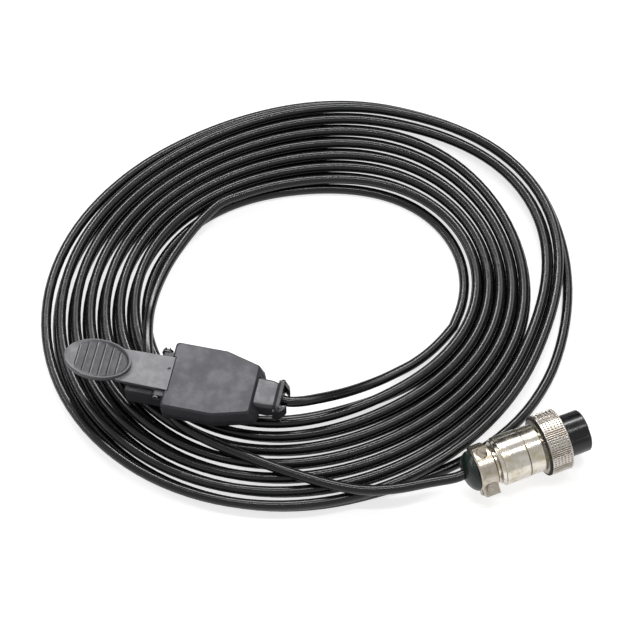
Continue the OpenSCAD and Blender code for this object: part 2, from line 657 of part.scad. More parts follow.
plug_place = [98.2, -11];
plug_turn = 33.9;
plug_z = ground_z + ring_d / 2;
plug_rear = [plug_place[0], plug_place[1], plug_z];
plug_way = [cos(plug_turn), sin(plug_turn), 0];

lead_path = concat(lead_route, [coil_start - cord_d / 4 * start_way, coil_start]);
tail_path = concat([coil_end], curve(concat([coil_end + cord_d / 2 * end_way], tail_route,
    [plug_rear - cord_d * plug_way]), 2), [plug_rear]);
module cable_lead() color([0.05, 0.05, 0.05]) tube(lead_path, cord_d / 2, 8, [0, 0, 1], ground_z);
module cable_tail() color([0.05, 0.05, 0.05]) tube(tail_path, cord_d / 2, 8, [0, 0, 1], ground_z);

// The plug, along +X from the end of the cord

seal_l = 3.4;
seal_in = 2.6;          // how far the seal's sleeve reaches into the clamp
clamp_gap = 0.2;
clamp_l = 6.4;
clamp_start = seal_l + clamp_gap;
clamp_end = clamp_start + clamp_l;
clamp_middle = (clamp_start + clamp_end) / 2;
clamp_d = 14.2;
clamp_bore = 8.2;
clamp_split = 1;
clamp_edge = 0.6;
clamp_turn = -55;       // one lug stands out at the near side, the screws have their heads up
clamp_lug_ends = [-9.2, 7.4];
clamp_lug_w = 7.2;
clamp_screw_places = [-6.6, 5.6];
clamp_screw_d = 2;
clamp_head_d = 3.4;
clamp_head_t = 1.3;
clamp_nut_out = 0.8;
neck_d = 10;
neck_l = 1.1;
neck_in = 1.4;          // how far the barrel's neck reaches into the clamp
barrel_start = clamp_end + neck_l;
barrel_end = barrel_start + barrel_l;
barrel_wall = 1.1;
barrel_edge = 1.1;
barrel_front_edge = 0.3;
barrel_step = 0.1;      // the barrel's front part is a little smaller
seam_x = between(barrel_start, barrel_end, 0.63);
seam_w = 0.3;
seam_depth = 0.2;
tube_d = insert_d - 1.6;
tube_bore = tube_d - 2;
tube_l = 4.9;
tube_end = barrel_end + tube_l;
ring_space = 0.4;
ring_start = barrel_end + ring_space;
ring_end = ring_start + ring_l;
ring_wall = 1.85;
ring_web = 2.1;
ring_bore = ring_d - 2 * ring_wall;
ring_gap = 0.1;
ring_edge = 0.7;
snap_ring_t = 0.7;
snap_ring_d = ring_bore - 1.5;
groove_d = tube_d - 0.7;
insert_in = 3.5;
insert_edge = 0.5;
insert_rear = barrel_end - insert_in;
insert_end = ring_end + insert_out;
contact_d = 2.4;
contact_in = 0.6;       // the contacts' mouths lie behind the insert's end
contact_tail = 1.5;
cup_l = 1.3;
core_gap = 0.8;
jacket_end = clamp_end + 0.3 * cord_d;
grip_depth = 0.3;

module on_plug() translate(plug_rear) rotate([0, 0, plug_turn]) children();
// Turned about the plug's axis, from points of place along it and radius
module turned(points) rotate([90, 0, 90]) rotate_extrude($fn = 96) polygon([for (p = points) [p[1], p[0]]]);

seal_x_shares = [0, 0.2, 0.45, 0.72, 1];
seal_r_shares = [0.4, 0.62, 0.8, 0.92, 0.97];
module cable_seal() color([0.05, 0.07, 0.06]) on_plug() difference() {
    turned(concat([[0, 0]], [for (i = [0 : 4]) [seal_x_shares[i] * seal_l, seal_r_shares[i] * clamp_d / 2]],
        [[seal_l, clamp_bore / 2 - fit], [seal_l + seal_in, clamp_bore / 2 - fit], [seal_l + seal_in, 0]]));
    along(cord_d + 2 * fit, 2 * clamp_end, -seal_in);
}

module clamp_half(s) rotate([clamp_turn, 0, 0]) intersection() {
    difference() {
        union() {
            translate([clamp_start, 0, 0]) turned([[0, 0], [0, clamp_d / 2 - clamp_edge],
                [clamp_edge, clamp_d / 2], [clamp_l - clamp_edge, clamp_d / 2],
                [clamp_l, clamp_d / 2 - clamp_edge], [clamp_l, 0]]);
            block(clamp_start + 0.12 * clamp_l, clamp_end - 0.12 * clamp_l, -clamp_lug_w / 2, clamp_lug_w / 2,
                clamp_lug_ends[0], clamp_lug_ends[1]);
        }
        along(clamp_bore, 3 * clamp_l, 0);
        along(neck_d + 2 * fit, clamp_l, clamp_end - neck_in - 2 * fit);
        for (z = clamp_screw_places) {
            across(clamp_screw_d + fit, 2 * clamp_d, clamp_middle, z, -clamp_d);
            across(clamp_head_d + 4 * fit, clamp_d, clamp_middle, z, -clamp_lug_w / 2 - clamp_d);
        }
    }
    block(0, 2 * clamp_end, s > 0 ? clamp_split / 2 : -clamp_d, s > 0 ? clamp_d : -clamp_split / 2,
        -clamp_d, clamp_d);
}

module clamp_near() color([0.78, 0.77, 0.74]) on_plug() clamp_half(-1);
module clamp_far() color([0.78, 0.77, 0.74]) on_plug() clamp_half(1);

module clamp_screws() color([0.82, 0.81, 0.78]) on_plug() rotate([clamp_turn, 0, 0])
    for (z = clamp_screw_places) difference() {
    union() {
        across(clamp_screw_d, clamp_lug_w + clamp_nut_out, clamp_middle, z, -clamp_lug_w / 2 - fit);
        across(clamp_head_d, clamp_head_t, clamp_middle, z, -clamp_lug_w / 2 - fit - clamp_head_t);
    }
    translate([clamp_middle, -clamp_lug_w / 2 - clamp_head_t, z])
        rotate([0, 35, 0]) cube([clamp_head_d, clamp_head_t, 0.2 * clamp_head_d], center = true);
}

module plug_cable() color([0.05, 0.05, 0.05]) on_plug() along(cord_d, jacket_end, 0);

core_way_x = [jacket_end + 2 * fit, jacket_end + core_d, between(jacket_end, insert_rear, 0.8),
    insert_rear - contact_tail + cup_l / 2];
core_way_y = [core_gap, 1.2 * core_gap, contact_pitch / 2, contact_pitch / 2];
module plug_cores() on_plug() for (s = [-1, 1]) color(s > 0 ? [0.75, 0.1, 0.1] : [0.85, 0.85, 0.85])
    tube([for (i = [0 : 3]) [core_way_x[i], s * core_way_y[i], 0]], core_d / 2, 6);

module barrel() color([0.8, 0.79, 0.76]) on_plug() difference() {
    front_r = barrel_d / 2 - barrel_step;
    turned([[clamp_end - neck_in, 0], [clamp_end - neck_in, neck_d / 2], [barrel_start, neck_d / 2],
        [barrel_start, barrel_d / 2 - barrel_edge], [barrel_start + barrel_edge, barrel_d / 2],
        [seam_x, barrel_d / 2],
        [seam_x, barrel_d / 2 - seam_depth], [seam_x + seam_w, barrel_d / 2 - seam_depth],
        [seam_x + seam_w, front_r], [barrel_end - barrel_front_edge, front_r],
        [barrel_end, front_r - barrel_front_edge], [barrel_end, tube_d / 2], [tube_end, tube_d / 2],
        [tube_end, 0]]);
    along(cord_d + 2 * fit, 2 * barrel_l, 0);
    along(tube_bore, 2 * barrel_l, barrel_start + barrel_wall);
    translate([ring_start + ring_web + 2 * fit, 0, 0]) rotate([0, 90, 0]) difference() {
        cylinder(d = 2 * tube_d, h = snap_ring_t + 2 * fit);
        cylinder(d = groove_d, h = snap_ring_t + 2 * fit);
    }
    grub_place() cylinder(d = grub_d, h = barrel_d);
}

grub_d = 1.6;
grub_l = 1.2;
grub_back = 2.1;        // the grub screw sits behind the seam, on the near side
grub_turn = 115;
grub_low = 2;
module grub_place() translate([seam_x - grub_back, 0, 0]) rotate([grub_turn, 0, 0])
    translate([0, 0, barrel_d / 2 - grub_low]) children();
module barrel_screw() color([0.25, 0.25, 0.25]) on_plug() grub_place() difference() {
    translate([0, 0, grub_l / 4]) cylinder(d = grub_d, h = grub_l);
    translate([0, 0, 1.25 * grub_l]) cube([grub_d, 0.25 * grub_d, 0.5 * grub_l], center = true);
}

key_turns = [34, 154, 274];
key_w = [2.6, 1.7, 1.7];
key_depth = 0.9;
module contact_insert() color([0.07, 0.07, 0.08]) on_plug() difference() {
    turned([[insert_rear, 0], [insert_rear, tube_bore / 2 - fit], [tube_end + 2 * fit, tube_bore / 2 - fit],
        [tube_end + 2 * fit, insert_d / 2], [insert_end - insert_edge, insert_d / 2],
        [insert_end, insert_d / 2 - insert_edge], [insert_end, 0]]);
    for (i = [0 : 2]) rotate([key_turns[i], 0, 0]) block(ring_end - key_w[0], 2 * insert_end,
        -key_w[i] / 2, key_w[i] / 2, insert_d / 2 - key_depth, insert_d);
    for (s = [-1, 1]) translate([0, s * contact_pitch / 2, 0])
        along(contact_d, insert_end, insert_rear - over);
}

module socket_contacts() color([0.85, 0.7, 0.35]) on_plug() for (s = [-1, 1])
    translate([0, s * contact_pitch / 2, 0]) difference() {
        along(contact_d, insert_end - contact_in - insert_rear + contact_tail, insert_rear - contact_tail);
        along(contact_bore, insert_end, 0.75 * insert_end);
        along(core_d + 2 * fit, cup_l, insert_rear - contact_tail - over);
    }

module retaining_ring() color([0.6, 0.6, 0.6]) on_plug() translate([ring_start + ring_web + 3 * fit, 0, 0])
    rotate([0, 90, 0]) difference() {
        cylinder(d = snap_ring_d, h = snap_ring_t);
        translate([0, 0, -over]) cylinder(d = groove_d + 2 * fit, h = snap_ring_t + 2 * over);
        translate([0, 0, -over]) linear_extrude(snap_ring_t + 2 * over)
            polygon([[0, 0], [snap_ring_d, -0.16 * snap_ring_d], [snap_ring_d, 0.16 * snap_ring_d]]);
    }

grip_points = [for (i = [0 : grip_teeth - 1], k = [0, 1, 2])
    let (a = 360 * (i + [0, 0.5, 0.75][k]) / grip_teeth,
    r = ring_d / 2 - [0, 0, grip_depth][k]) [r * cos(a), r * sin(a)]];
module coupling_ring() color([0.84, 0.82, 0.78]) on_plug() difference() {
    intersection() {
        translate([ring_start, 0, 0]) rotate([90, 0, 90]) linear_extrude(ring_l) polygon(grip_points);
        turned([[ring_start, 0], [ring_start, ring_d / 2 - ring_edge],
            [ring_start + 2 * ring_edge, ring_d / 2 + ring_edge],
            [ring_end - 2 * ring_edge, ring_d / 2 + ring_edge], [ring_end, ring_d / 2 - ring_edge],
            [ring_end, 0]]);
    }
    along(tube_d + 2 * ring_gap, ring_l, ring_start - over);
    along(ring_bore, ring_l, ring_start + ring_web);
}

housing_cover();
housing_base();
lever();
thumb_pad();
hinge_pin();
pin_washer();
pin_clip();
return_spring();
snap_case();
snap_lid();
plunger();
contact_blade();
snap_terminals();
core_wires();
inner_cable();
clamp_bar();
clamp_bar_screws();
housing_screws();
cable_boot();
claw_collar();
cable_lead();
cable_coil();
cable_tail();
cable_seal();
clamp_near();
clamp_far();
clamp_screws();
plug_cable();
plug_cores();
barrel();
barrel_screw();
contact_insert();
socket_contacts();
retaining_ring();
coupling_ring();
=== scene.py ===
# Hand switch for a TIG torch: thumb lever, small grey housing, coiled two core cord and a screw plug.
# Everything is in metres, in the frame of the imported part, unless a comment says mm.
import bmesh
import bpy
import json
import math
from mathutils import Matrix, Vector

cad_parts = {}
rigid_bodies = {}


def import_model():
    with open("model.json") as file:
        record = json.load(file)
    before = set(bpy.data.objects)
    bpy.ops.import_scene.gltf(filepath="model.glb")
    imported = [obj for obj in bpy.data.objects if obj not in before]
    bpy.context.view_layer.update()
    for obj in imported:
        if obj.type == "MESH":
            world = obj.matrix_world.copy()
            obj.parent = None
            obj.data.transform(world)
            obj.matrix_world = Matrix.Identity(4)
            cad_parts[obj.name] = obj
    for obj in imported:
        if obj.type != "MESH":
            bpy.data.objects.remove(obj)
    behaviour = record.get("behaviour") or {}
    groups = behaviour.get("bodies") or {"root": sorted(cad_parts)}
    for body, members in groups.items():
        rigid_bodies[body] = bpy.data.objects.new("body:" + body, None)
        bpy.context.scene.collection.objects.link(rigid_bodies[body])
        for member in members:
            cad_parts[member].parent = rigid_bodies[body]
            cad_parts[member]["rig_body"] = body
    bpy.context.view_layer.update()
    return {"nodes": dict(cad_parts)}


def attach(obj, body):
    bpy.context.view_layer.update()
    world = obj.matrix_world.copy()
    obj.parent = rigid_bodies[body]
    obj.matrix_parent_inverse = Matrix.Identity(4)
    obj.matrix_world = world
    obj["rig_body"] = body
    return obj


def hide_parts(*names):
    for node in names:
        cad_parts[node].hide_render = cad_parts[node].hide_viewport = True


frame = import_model()
mm = 0.001
fullTurn = 2 * math.pi
print("stage: frame loaded,", len(frame["nodes"]), "nodes")


# Camera at the photograph's viewing angle

cameraSettings = {
    "spot": (0.11407, -0.31796, 0.61949),
    "azimuth": 11.7,        # degrees, turned from +Y
    "elevation": 60,        # degrees, looking down
    "lens": 120.1,
    "sensor": 36,
    "clip": (0.01, 20),
}


def addCamera(settings):
    data = bpy.data.cameras.new("camera")
    data.lens = settings["lens"]
    data.sensor_width = settings["sensor"]
    data.clip_start, data.clip_end = settings["clip"]
    camera = bpy.data.objects.new("camera", data)
    camera.location = settings["spot"]
    tilt = math.radians(90 - settings["elevation"])
    camera.rotation_euler = (tilt, 0, math.radians(settings["azimuth"]))
    bpy.context.scene.collection.objects.link(camera)
    bpy.context.scene.camera = camera


addCamera(cameraSettings)


# Small helpers for meshes

def newObject(name, data):
    piece = bpy.data.objects.new(name, data)
    bpy.context.scene.collection.objects.link(piece)
    return piece


def meshPiece(name, points, faces, material, smooth=True):
    mesh = bpy.data.meshes.new(name)
    mesh.from_pydata([tuple(p) for p in points], [], faces)
    mesh.validate()
    mesh.materials.append(material)
    for polygon in mesh.polygons:
        polygon.use_smooth = smooth
    work = bmesh.new()
    work.from_mesh(mesh)
    bmesh.ops.recalc_face_normals(work, faces=work.faces)
    work.to_mesh(mesh)
    work.free()
    return newObject(name, mesh)


# Edges sharper than sharpAngle are rounded, and nearly flat neighbours are joined, both in degrees
dressSettings = {"sharpAngle": 32, "latheSharpAngle": 28, "flatAngle": 0.8, "merge": 0.03 * mm,
                 "normalWeight": 60}


def roundEdges(piece, width, segments=3, angle=dressSettings["sharpAngle"]):
    bevel = piece.modifiers.new("rounding", "BEVEL")
    bevel.width = width
    bevel.segments = segments
    bevel.limit_method = "ANGLE"
    bevel.angle_limit = math.radians(angle)
    bevel.miter_outer = "MITER_ARC"
    normals = piece.modifiers.new("normals", "WEIGHTED_NORMAL")
    normals.keep_sharp = False
    normals.weight = dressSettings["normalWeight"]


def bodyOf(node):
    return frame["nodes"][node]["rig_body"]


# A CAD node's own form, cleaned and given the small roundings of the real moulding
def dressNode(node, material, width, segments=3):
    source = frame["nodes"][node]
    work = bmesh.new()
    work.from_mesh(source.data)
    bmesh.ops.remove_doubles(work, verts=work.verts, dist=dressSettings["merge"])
    flat = math.radians(dressSettings["flatAngle"])
    bmesh.ops.dissolve_limit(work, angle_limit=flat, verts=work.verts, edges=work.edges)
    mesh = bpy.data.meshes.new(node + "_looks")
    work.to_mesh(mesh)
    work.free()
    mesh.materials.append(material)
    for polygon in mesh.polygons:
        polygon.use_smooth = True
    piece = newObject(node + "_looks", mesh)
    roundEdges(piece, width, segments)
    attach(piece, bodyOf(node))
    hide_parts(node)


# A CAD node that keeps its own mesh, in the material of the real piece
def paintNode(node, material):
    piece = frame["nodes"][node]
    piece.data.materials.clear()
    piece.data.materials.append(material)


# Where the plug lies: the middle of its rear end, in mm, and its bearing in degrees
plugSettings = {"rear": (98.2, -11, -7.11), "turn": 33.9}


# Shader node groups shared by the materials

def startGroup(name, inputs, outputs):
    group = bpy.data.node_groups.new(name, "ShaderNodeTree")
    for label, kind, default in inputs:
        socket = group.interface.new_socket(label, in_out="INPUT", socket_type=kind)
        socket.default_value = default
    for label, kind in outputs:
        group.interface.new_socket(label, in_out="OUTPUT", socket_type=kind)
    return group, group.nodes.new("NodeGroupInput"), group.nodes.new("NodeGroupOutput")


def link(tree, start, end):
    tree.links.new(start, end)


def mathNode(tree, operation, first, second, third=None):
    node = tree.nodes.new("ShaderNodeMath")
    node.operation = operation
    for socket, value in zip(node.inputs, (first, second, third)):
        if value is None:
            continue
        if isinstance(value, (int, float)):
            socket.default_value = value
        else:
            link(tree, value, socket)
    return node.outputs[0]


def noiseNode(tree, scale, detail, roughness, vector):
    node = tree.nodes.new("ShaderNodeTexNoise")
    node.inputs["Detail"].default_value = detail
    node.inputs["Roughness"].default_value = roughness
    link(tree, vector, node.inputs["Vector"])
    if isinstance(scale, (int, float)):
        node.inputs["Scale"].default_value = scale
    else:
        link(tree, scale, node.inputs["Scale"])
    return node.outputs["Fac"]


def rampNode(tree, value, low, high, floor=0.0, top=1.0):
    node = tree.nodes.new("ShaderNodeMapRange")
    node.interpolation_type = "SMOOTHSTEP"
    link(tree, value, node.inputs["Value"])
    for label, number in (("From Min", low), ("From Max", high), ("To Min", floor), ("To Max", top)):
        if isinstance(number, (int, float)):
            node.inputs[label].default_value = number
        else:
            link(tree, number, node.inputs[label])
    return node.outputs["Result"]


def mixColor(tree, share, first, second):
    node = tree.nodes.new("ShaderNodeMix")
    node.data_type = "RGBA"
    for socket, value in ((node.inputs[0], share), (node.inputs[6], first), (node.inputs[7], second)):
        if isinstance(value, (int, float, tuple)):
            socket.default_value = value
        else:
            link(tree, value, socket)
    return node.outputs[2]


def colorInput(label, tint):
    return label, "NodeSocketColor", (*tint, 1)


def valueInput(label, value):
    return label, "NodeSocketFloat", value


skinOutputs = [("Color", "NodeSocketColor"), ("Roughness", "NodeSocketFloat"),
               ("Height", "NodeSocketFloat")]


def endGroup(group, made, color, rough, height):
    link(group, color, made.inputs["Color"])
    link(group, rough, made.inputs["Roughness"])
    link(group, height, made.inputs["Height"])
    return group


mouldedSettings = {
    "bloomFrom": 0.38, "bloomTo": 0.72, "speckScale": 1900, "speckFrom": 0.66, "speckTo": 0.74,
    "speckShare": 0.35, "shadedSideFrom": 0.80, "shadedSideTo": 0.985, "bloomRough": 0.09, "grainRough": 0.06,
}


# Moulded plastic: fine matt grain, cloudy pale bloom with small specks, and painted shade that darkens
# the surfaces facing sideways
def buildMouldedSkin():
    s = mouldedSettings
    group, given, made = startGroup("mouldedSkin", [
        colorInput("Tint", (0.2, 0.2, 0.2)), colorInput("Bloom Tint", (0.3, 0.3, 0.3)),
        colorInput("Side Tint", (0.05, 0.05, 0.05)), valueInput("Side Amount", 0.0),
        valueInput("Bloom Amount", 0.5), valueInput("Bloom Scale", 160.0),
        valueInput("Grain Scale", 5200.0), valueInput("Roughness", 0.5)], skinOutputs)
    where = group.nodes.new("ShaderNodeTexCoord").outputs["Object"]
    cloud = rampNode(group, noiseNode(group, given.outputs["Bloom Scale"], 4, 0.62, where),
                     s["bloomFrom"], s["bloomTo"])
    grain = noiseNode(group, given.outputs["Grain Scale"], 2, 0.5, where)
    speck = rampNode(group, noiseNode(group, s["speckScale"], 2, 0.5, where),
                     s["speckFrom"], s["speckTo"])
    share = mathNode(group, "MULTIPLY", cloud, given.outputs["Bloom Amount"])
    speckShare = mathNode(group, "MULTIPLY", speck, given.outputs["Bloom Amount"])
    share = mathNode(group, "MULTIPLY_ADD", speckShare, s["speckShare"], share)
    color = mixColor(group, share, given.outputs["Tint"], given.outputs["Bloom Tint"])
    # Painted shade: surfaces that face sideways rather than up are darkened toward the side tint
    facing = group.nodes.new("ShaderNodeSeparateXYZ")
    link(group, group.nodes.new("ShaderNodeNewGeometry").outputs["Normal"], facing.inputs[0])
    shadeOnSides = rampNode(group, facing.outputs["Z"], s["shadedSideFrom"], s["shadedSideTo"], 1.0, 0.0)
    sideShadeShare = mathNode(group, "MULTIPLY", shadeOnSides, given.outputs["Side Amount"])
    color = mixColor(group, sideShadeShare, color, given.outputs["Side Tint"])
    rough = mathNode(group, "MULTIPLY_ADD", cloud, s["bloomRough"], given.outputs["Roughness"])
    rough = mathNode(group, "MULTIPLY_ADD", grain, s["grainRough"], rough)
    return endGroup(group, made, color, rough, grain)


platedSettings = {
    "tarnishFrom": 0.42, "tarnishTo": 0.75, "scratchScale": (240, 3800, 3800), "pitScale": 2600,
    "pitFrom": 0.62, "pitTo": 0.78, "pitDepth": -0.6, "tarnishRough": 0.16, "scratchRough": 0.08,
}


# Plated metal: cloudy tarnish, fine scratches drawn along the plug, and small pits
def buildPlatedSkin():
    s = platedSettings
    group, given, made = startGroup("platedSkin", [
        colorInput("Tint", (0.7, 0.7, 0.7)), colorInput("Tarnish Tint", (0.5, 0.46, 0.38)),
        valueInput("Tarnish Amount", 0.4), valueInput("Tarnish Scale", 260.0),
        valueInput("Roughness", 0.2)], skinOutputs)
    where = group.nodes.new("ShaderNodeTexCoord").outputs["Object"]
    cloud = rampNode(group, noiseNode(group, given.outputs["Tarnish Scale"], 5, 0.65, where),
                     s["tarnishFrom"], s["tarnishTo"])
    stretch = group.nodes.new("ShaderNodeMapping")
    stretch.inputs["Rotation"].default_value = (0, 0, math.radians(-plugSettings["turn"]))
    stretch.inputs["Scale"].default_value = s["scratchScale"]
    link(group, where, stretch.inputs["Vector"])
    scratch = noiseNode(group, 1.0, 3, 0.6, stretch.outputs["Vector"])
    pits = rampNode(group, noiseNode(group, s["pitScale"], 2, 0.5, where), s["pitFrom"], s["pitTo"])
    share = mathNode(group, "MULTIPLY", cloud, given.outputs["Tarnish Amount"])
    color = mixColor(group, share, given.outputs["Tint"], given.outputs["Tarnish Tint"])
    rough = mathNode(group, "MULTIPLY_ADD", cloud, s["tarnishRough"], given.outputs["Roughness"])
    rough = mathNode(group, "MULTIPLY_ADD", scratch, s["scratchRough"], rough)
    height = mathNode(group, "MULTIPLY_ADD", pits, s["pitDepth"], scratch)
    return endGroup(group, made, color, rough, height)


jacketSettings = {
    "rubScale": 240, "rubFrom": 0.5, "rubTo": 0.8, "waveScale": 95, "fineScale": 2400,
    "rubRough": 0.18, "waveHeight": 4.0,
}


# Soft jacket: slow waves along the skin and faint rub marks
def buildJacketSkin():
    s = jacketSettings
    group, given, made = startGroup("jacketSkin", [
        colorInput("Tint", (0.015, 0.015, 0.016)), colorInput("Rub Tint", (0.05, 0.05, 0.052)),
        valueInput("Rub Amount", 0.5), valueInput("Roughness", 0.3)], skinOutputs)
    where = group.nodes.new("ShaderNodeTexCoord").outputs["Object"]
    rub = rampNode(group, noiseNode(group, s["rubScale"], 5, 0.6, where), s["rubFrom"], s["rubTo"])
    wave = noiseNode(group, s["waveScale"], 2, 0.5, where)
    fine = noiseNode(group, s["fineScale"], 2, 0.5, where)
    share = mathNode(group, "MULTIPLY", rub, given.outputs["Rub Amount"])
    color = mixColor(group, share, given.outputs["Tint"], given.outputs["Rub Tint"])
    rough = mathNode(group, "MULTIPLY_ADD", rub, s["rubRough"], given.outputs["Roughness"])
    height = mathNode(group, "MULTIPLY_ADD", wave, s["waveHeight"], fine)
    return endGroup(group, made, color, rough, height)


skins = {"moulded": buildMouldedSkin(), "plated": buildPlatedSkin(), "jacket": buildJacketSkin()}


def buildMaterial(name, skin, values, bumpDepth, **shaderValues):
    material = bpy.data.materials.new(name)
    material.use_nodes = True
    tree = material.node_tree
    shader = tree.nodes["Principled BSDF"]
    group = tree.nodes.new("ShaderNodeGroup")
    group.node_tree = skins[skin]
    for label, value in values.items():
        group.inputs[label].default_value = (*value, 1) if isinstance(value, tuple) else value
    bump = tree.nodes.new("ShaderNodeBump")
    bump.inputs["Distance"].default_value = bumpDepth * mm
    link(tree, group.outputs["Color"], shader.inputs["Base Color"])
    link(tree, group.outputs["Roughness"], shader.inputs["Roughness"])
    link(tree, group.outputs["Height"], bump.inputs["Height"])
    link(tree, bump.outputs["Normal"], shader.inputs["Normal"])
    for label, value in shaderValues.items():
        shader.inputs[label.replace("_", " ")].default_value = value
    return material


# The side values of each plastic set how much painted shade its sideways faces get
housingPlastic = buildMaterial("housingPlastic", "moulded", {
    "Tint": (0.074, 0.073, 0.084), "Bloom Tint": (0.192, 0.189, 0.205), "Bloom Amount": 0.9,
    "Bloom Scale": 150.0, "Side Tint": (0.024, 0.024, 0.029), "Side Amount": 0.92,
    "Roughness": 0.50}, 0.03)
leverPlastic = buildMaterial("leverPlastic", "moulded", {
    "Tint": (0.225, 0.225, 0.240), "Bloom Tint": (0.36, 0.357, 0.365), "Bloom Amount": 0.8,
    "Bloom Scale": 210.0, "Side Tint": (0.045, 0.045, 0.05), "Side Amount": 0.8,
    "Roughness": 0.36}, 0.02)
padPlastic = buildMaterial("padPlastic", "moulded", {
    "Tint": (0.150, 0.150, 0.163), "Bloom Tint": (0.29, 0.29, 0.298), "Bloom Amount": 0.8,
    "Bloom Scale": 230.0, "Side Tint": (0.040, 0.040, 0.045), "Side Amount": 0.65,
    "Roughness": 0.38}, 0.02)
# Painted shade in the pad's recessed dish
padDishShadePlastic = buildMaterial("padDishShadePlastic", "moulded", {
    "Tint": (0.068, 0.068, 0.077), "Bloom Tint": (0.150, 0.150, 0.158), "Bloom Amount": 0.7,
    "Bloom Scale": 260.0, "Side Tint": (0.035, 0.035, 0.04), "Side Amount": 0.5,
    "Roughness": 0.42}, 0.02)
# Painted highlight on the crests of the pad's ridges and rim
padCrestHighlightPlastic = buildMaterial("padCrestHighlightPlastic", "moulded", {
    "Tint": (0.24, 0.24, 0.25), "Bloom Tint": (0.42, 0.42, 0.41), "Bloom Amount": 0.8,
    "Bloom Scale": 420.0, "Roughness": 0.36}, 0.01)
# Painted shade on the steep flanks of the pad's ridges
padFlankShadePlastic = buildMaterial("padFlankShadePlastic", "moulded", {
    "Tint": (0.012, 0.012, 0.014), "Bloom Tint": (0.03, 0.03, 0.032), "Bloom Amount": 0.5,
    "Bloom Scale": 400.0, "Roughness": 0.5}, 0.01)
bootPlastic = buildMaterial("bootPlastic", "moulded", {
    "Tint": (0.155, 0.155, 0.170), "Bloom Tint": (0.32, 0.32, 0.33), "Bloom Amount": 0.9,
    "Bloom Scale": 240.0, "Side Tint": (0.03, 0.03, 0.034), "Side Amount": 0.9,
    "Roughness": 0.34}, 0.02)
collarPlastic = buildMaterial("collarPlastic", "moulded", {
    "Tint": (0.060, 0.060, 0.066), "Bloom Tint": (0.14, 0.14, 0.15), "Bloom Amount": 0.7,
    "Bloom Scale": 300.0, "Side Tint": (0.022, 0.022, 0.025), "Side Amount": 0.85,
    "Roughness": 0.36}, 0.02)
insertPlastic = buildMaterial("insertPlastic", "moulded", {
    "Tint": (0.007, 0.007, 0.008), "Bloom Tint": (0.018, 0.018, 0.020), "Bloom Amount": 0.5,
    "Bloom Scale": 300.0, "Roughness": 0.15}, 0.004, Specular_IOR_Level=0.42)
blackPlastic = buildMaterial("blackPlastic", "moulded", {
    "Tint": (0.016, 0.016, 0.018), "Bloom Tint": (0.04, 0.04, 0.04), "Bloom Amount": 0.4,
    "Bloom Scale": 300.0, "Roughness": 0.35}, 0.015)
lidPlastic = buildMaterial("lidPlastic", "moulded", {
    "Tint": (0.075, 0.075, 0.083), "Bloom Tint": (0.13, 0.13, 0.14), "Bloom Amount": 0.5,
    "Bloom Scale": 400.0, "Roughness": 0.4}, 0.012)
plungerPlastic = buildMaterial("plungerPlastic", "moulded", {
    "Tint": (0.68, 0.68, 0.65), "Bloom Tint": (0.76, 0.76, 0.73), "Bloom Amount": 0.4,
    "Bloom Scale": 500.0, "Roughness": 0.3}, 0.01)
redCore = buildMaterial("redCore", "moulded", {
    "Tint": (0.45, 0.02, 0.018), "Bloom Tint": (0.55, 0.06, 0.05), "Bloom Amount": 0.4,
    "Bloom Scale": 400.0, "Roughness": 0.35}, 0.01)
cordJacket = buildMaterial("cordJacket", "jacket", {
    "Tint": (0.0060, 0.0060, 0.0068), "Rub Tint": (0.015, 0.015, 0.017), "Rub Amount": 0.35,
    "Roughness": 0.21}, 0.0022, Specular_IOR_Level=0.5)
sealRubber = buildMaterial("sealRubber", "jacket", {
    "Tint": (0.006, 0.016, 0.011), "Rub Tint": (0.03, 0.05, 0.038), "Rub Amount": 0.8,
    "Roughness": 0.30}, 0.015)
plugNickel = buildMaterial("plugNickel", "plated", {
    "Tint": (0.78, 0.735, 0.675), "Tarnish Tint": (0.55, 0.49, 0.31), "Tarnish Amount": 0.95,
    "Roughness": 0.14}, 0.002, Metallic=1.0)
clampNickel = buildMaterial("clampNickel", "plated", {
    "Tint": (0.58, 0.53, 0.46), "Tarnish Tint": (0.38, 0.31, 0.19), "Tarnish Amount": 0.9,
    "Tarnish Scale": 420.0, "Roughness": 0.24}, 0.012, Metallic=1.0)
gripNickel = buildMaterial("gripNickel", "plated", {
    "Tint": (0.58, 0.54, 0.50), "Tarnish Tint": (0.42, 0.36, 0.28), "Tarnish Amount": 0.8,
    "Tarnish Scale": 420.0, "Roughness": 0.24}, 0.008, Metallic=1.0)
# Painted shade on the ring's rear edge and between its teeth
gripShade = buildMaterial("gripShade", "plated", {
    "Tint": (0.055, 0.05, 0.046), "Tarnish Tint": (0.025, 0.022, 0.02), "Tarnish Amount": 0.8,
    "Roughness": 0.30}, 0.006, Metallic=1.0)
gripRecess = buildMaterial("gripRecess", "plated", {
    "Tint": (0.24, 0.20, 0.15), "Tarnish Tint": (0.12, 0.095, 0.06), "Tarnish Amount": 0.8,
    "Roughness": 0.32}, 0.006, Metallic=1.0)
brightSteel = buildMaterial("brightSteel", "plated", {
    "Tint": (0.62, 0.62, 0.63), "Tarnish Tint": (0.40, 0.39, 0.37), "Tarnish Amount": 0.5,
    "Roughness": 0.22}, 0.006, Metallic=1.0)
pinSteel = buildMaterial("pinSteel", "plated", {
    "Tint": (0.22, 0.22, 0.23), "Tarnish Tint": (0.12, 0.12, 0.12), "Tarnish Amount": 0.6,
    "Roughness": 0.24}, 0.006, Metallic=1.0)
darkSteel = buildMaterial("darkSteel", "plated", {
    "Tint": (0.14, 0.14, 0.15), "Tarnish Tint": (0.08, 0.08, 0.08), "Tarnish Amount": 0.6,
    "Roughness": 0.36}, 0.006, Metallic=1.0)
contactBrass = buildMaterial("contactBrass", "plated", {
    "Tint": (0.78, 0.56, 0.23), "Tarnish Tint": (0.55, 0.36, 0.15), "Tarnish Amount": 0.5,
    "Roughness": 0.22}, 0.006, Metallic=1.0)
print("stage: materials made,", len(bpy.data.materials))


# The cord: one curve through the free stretches and the coil

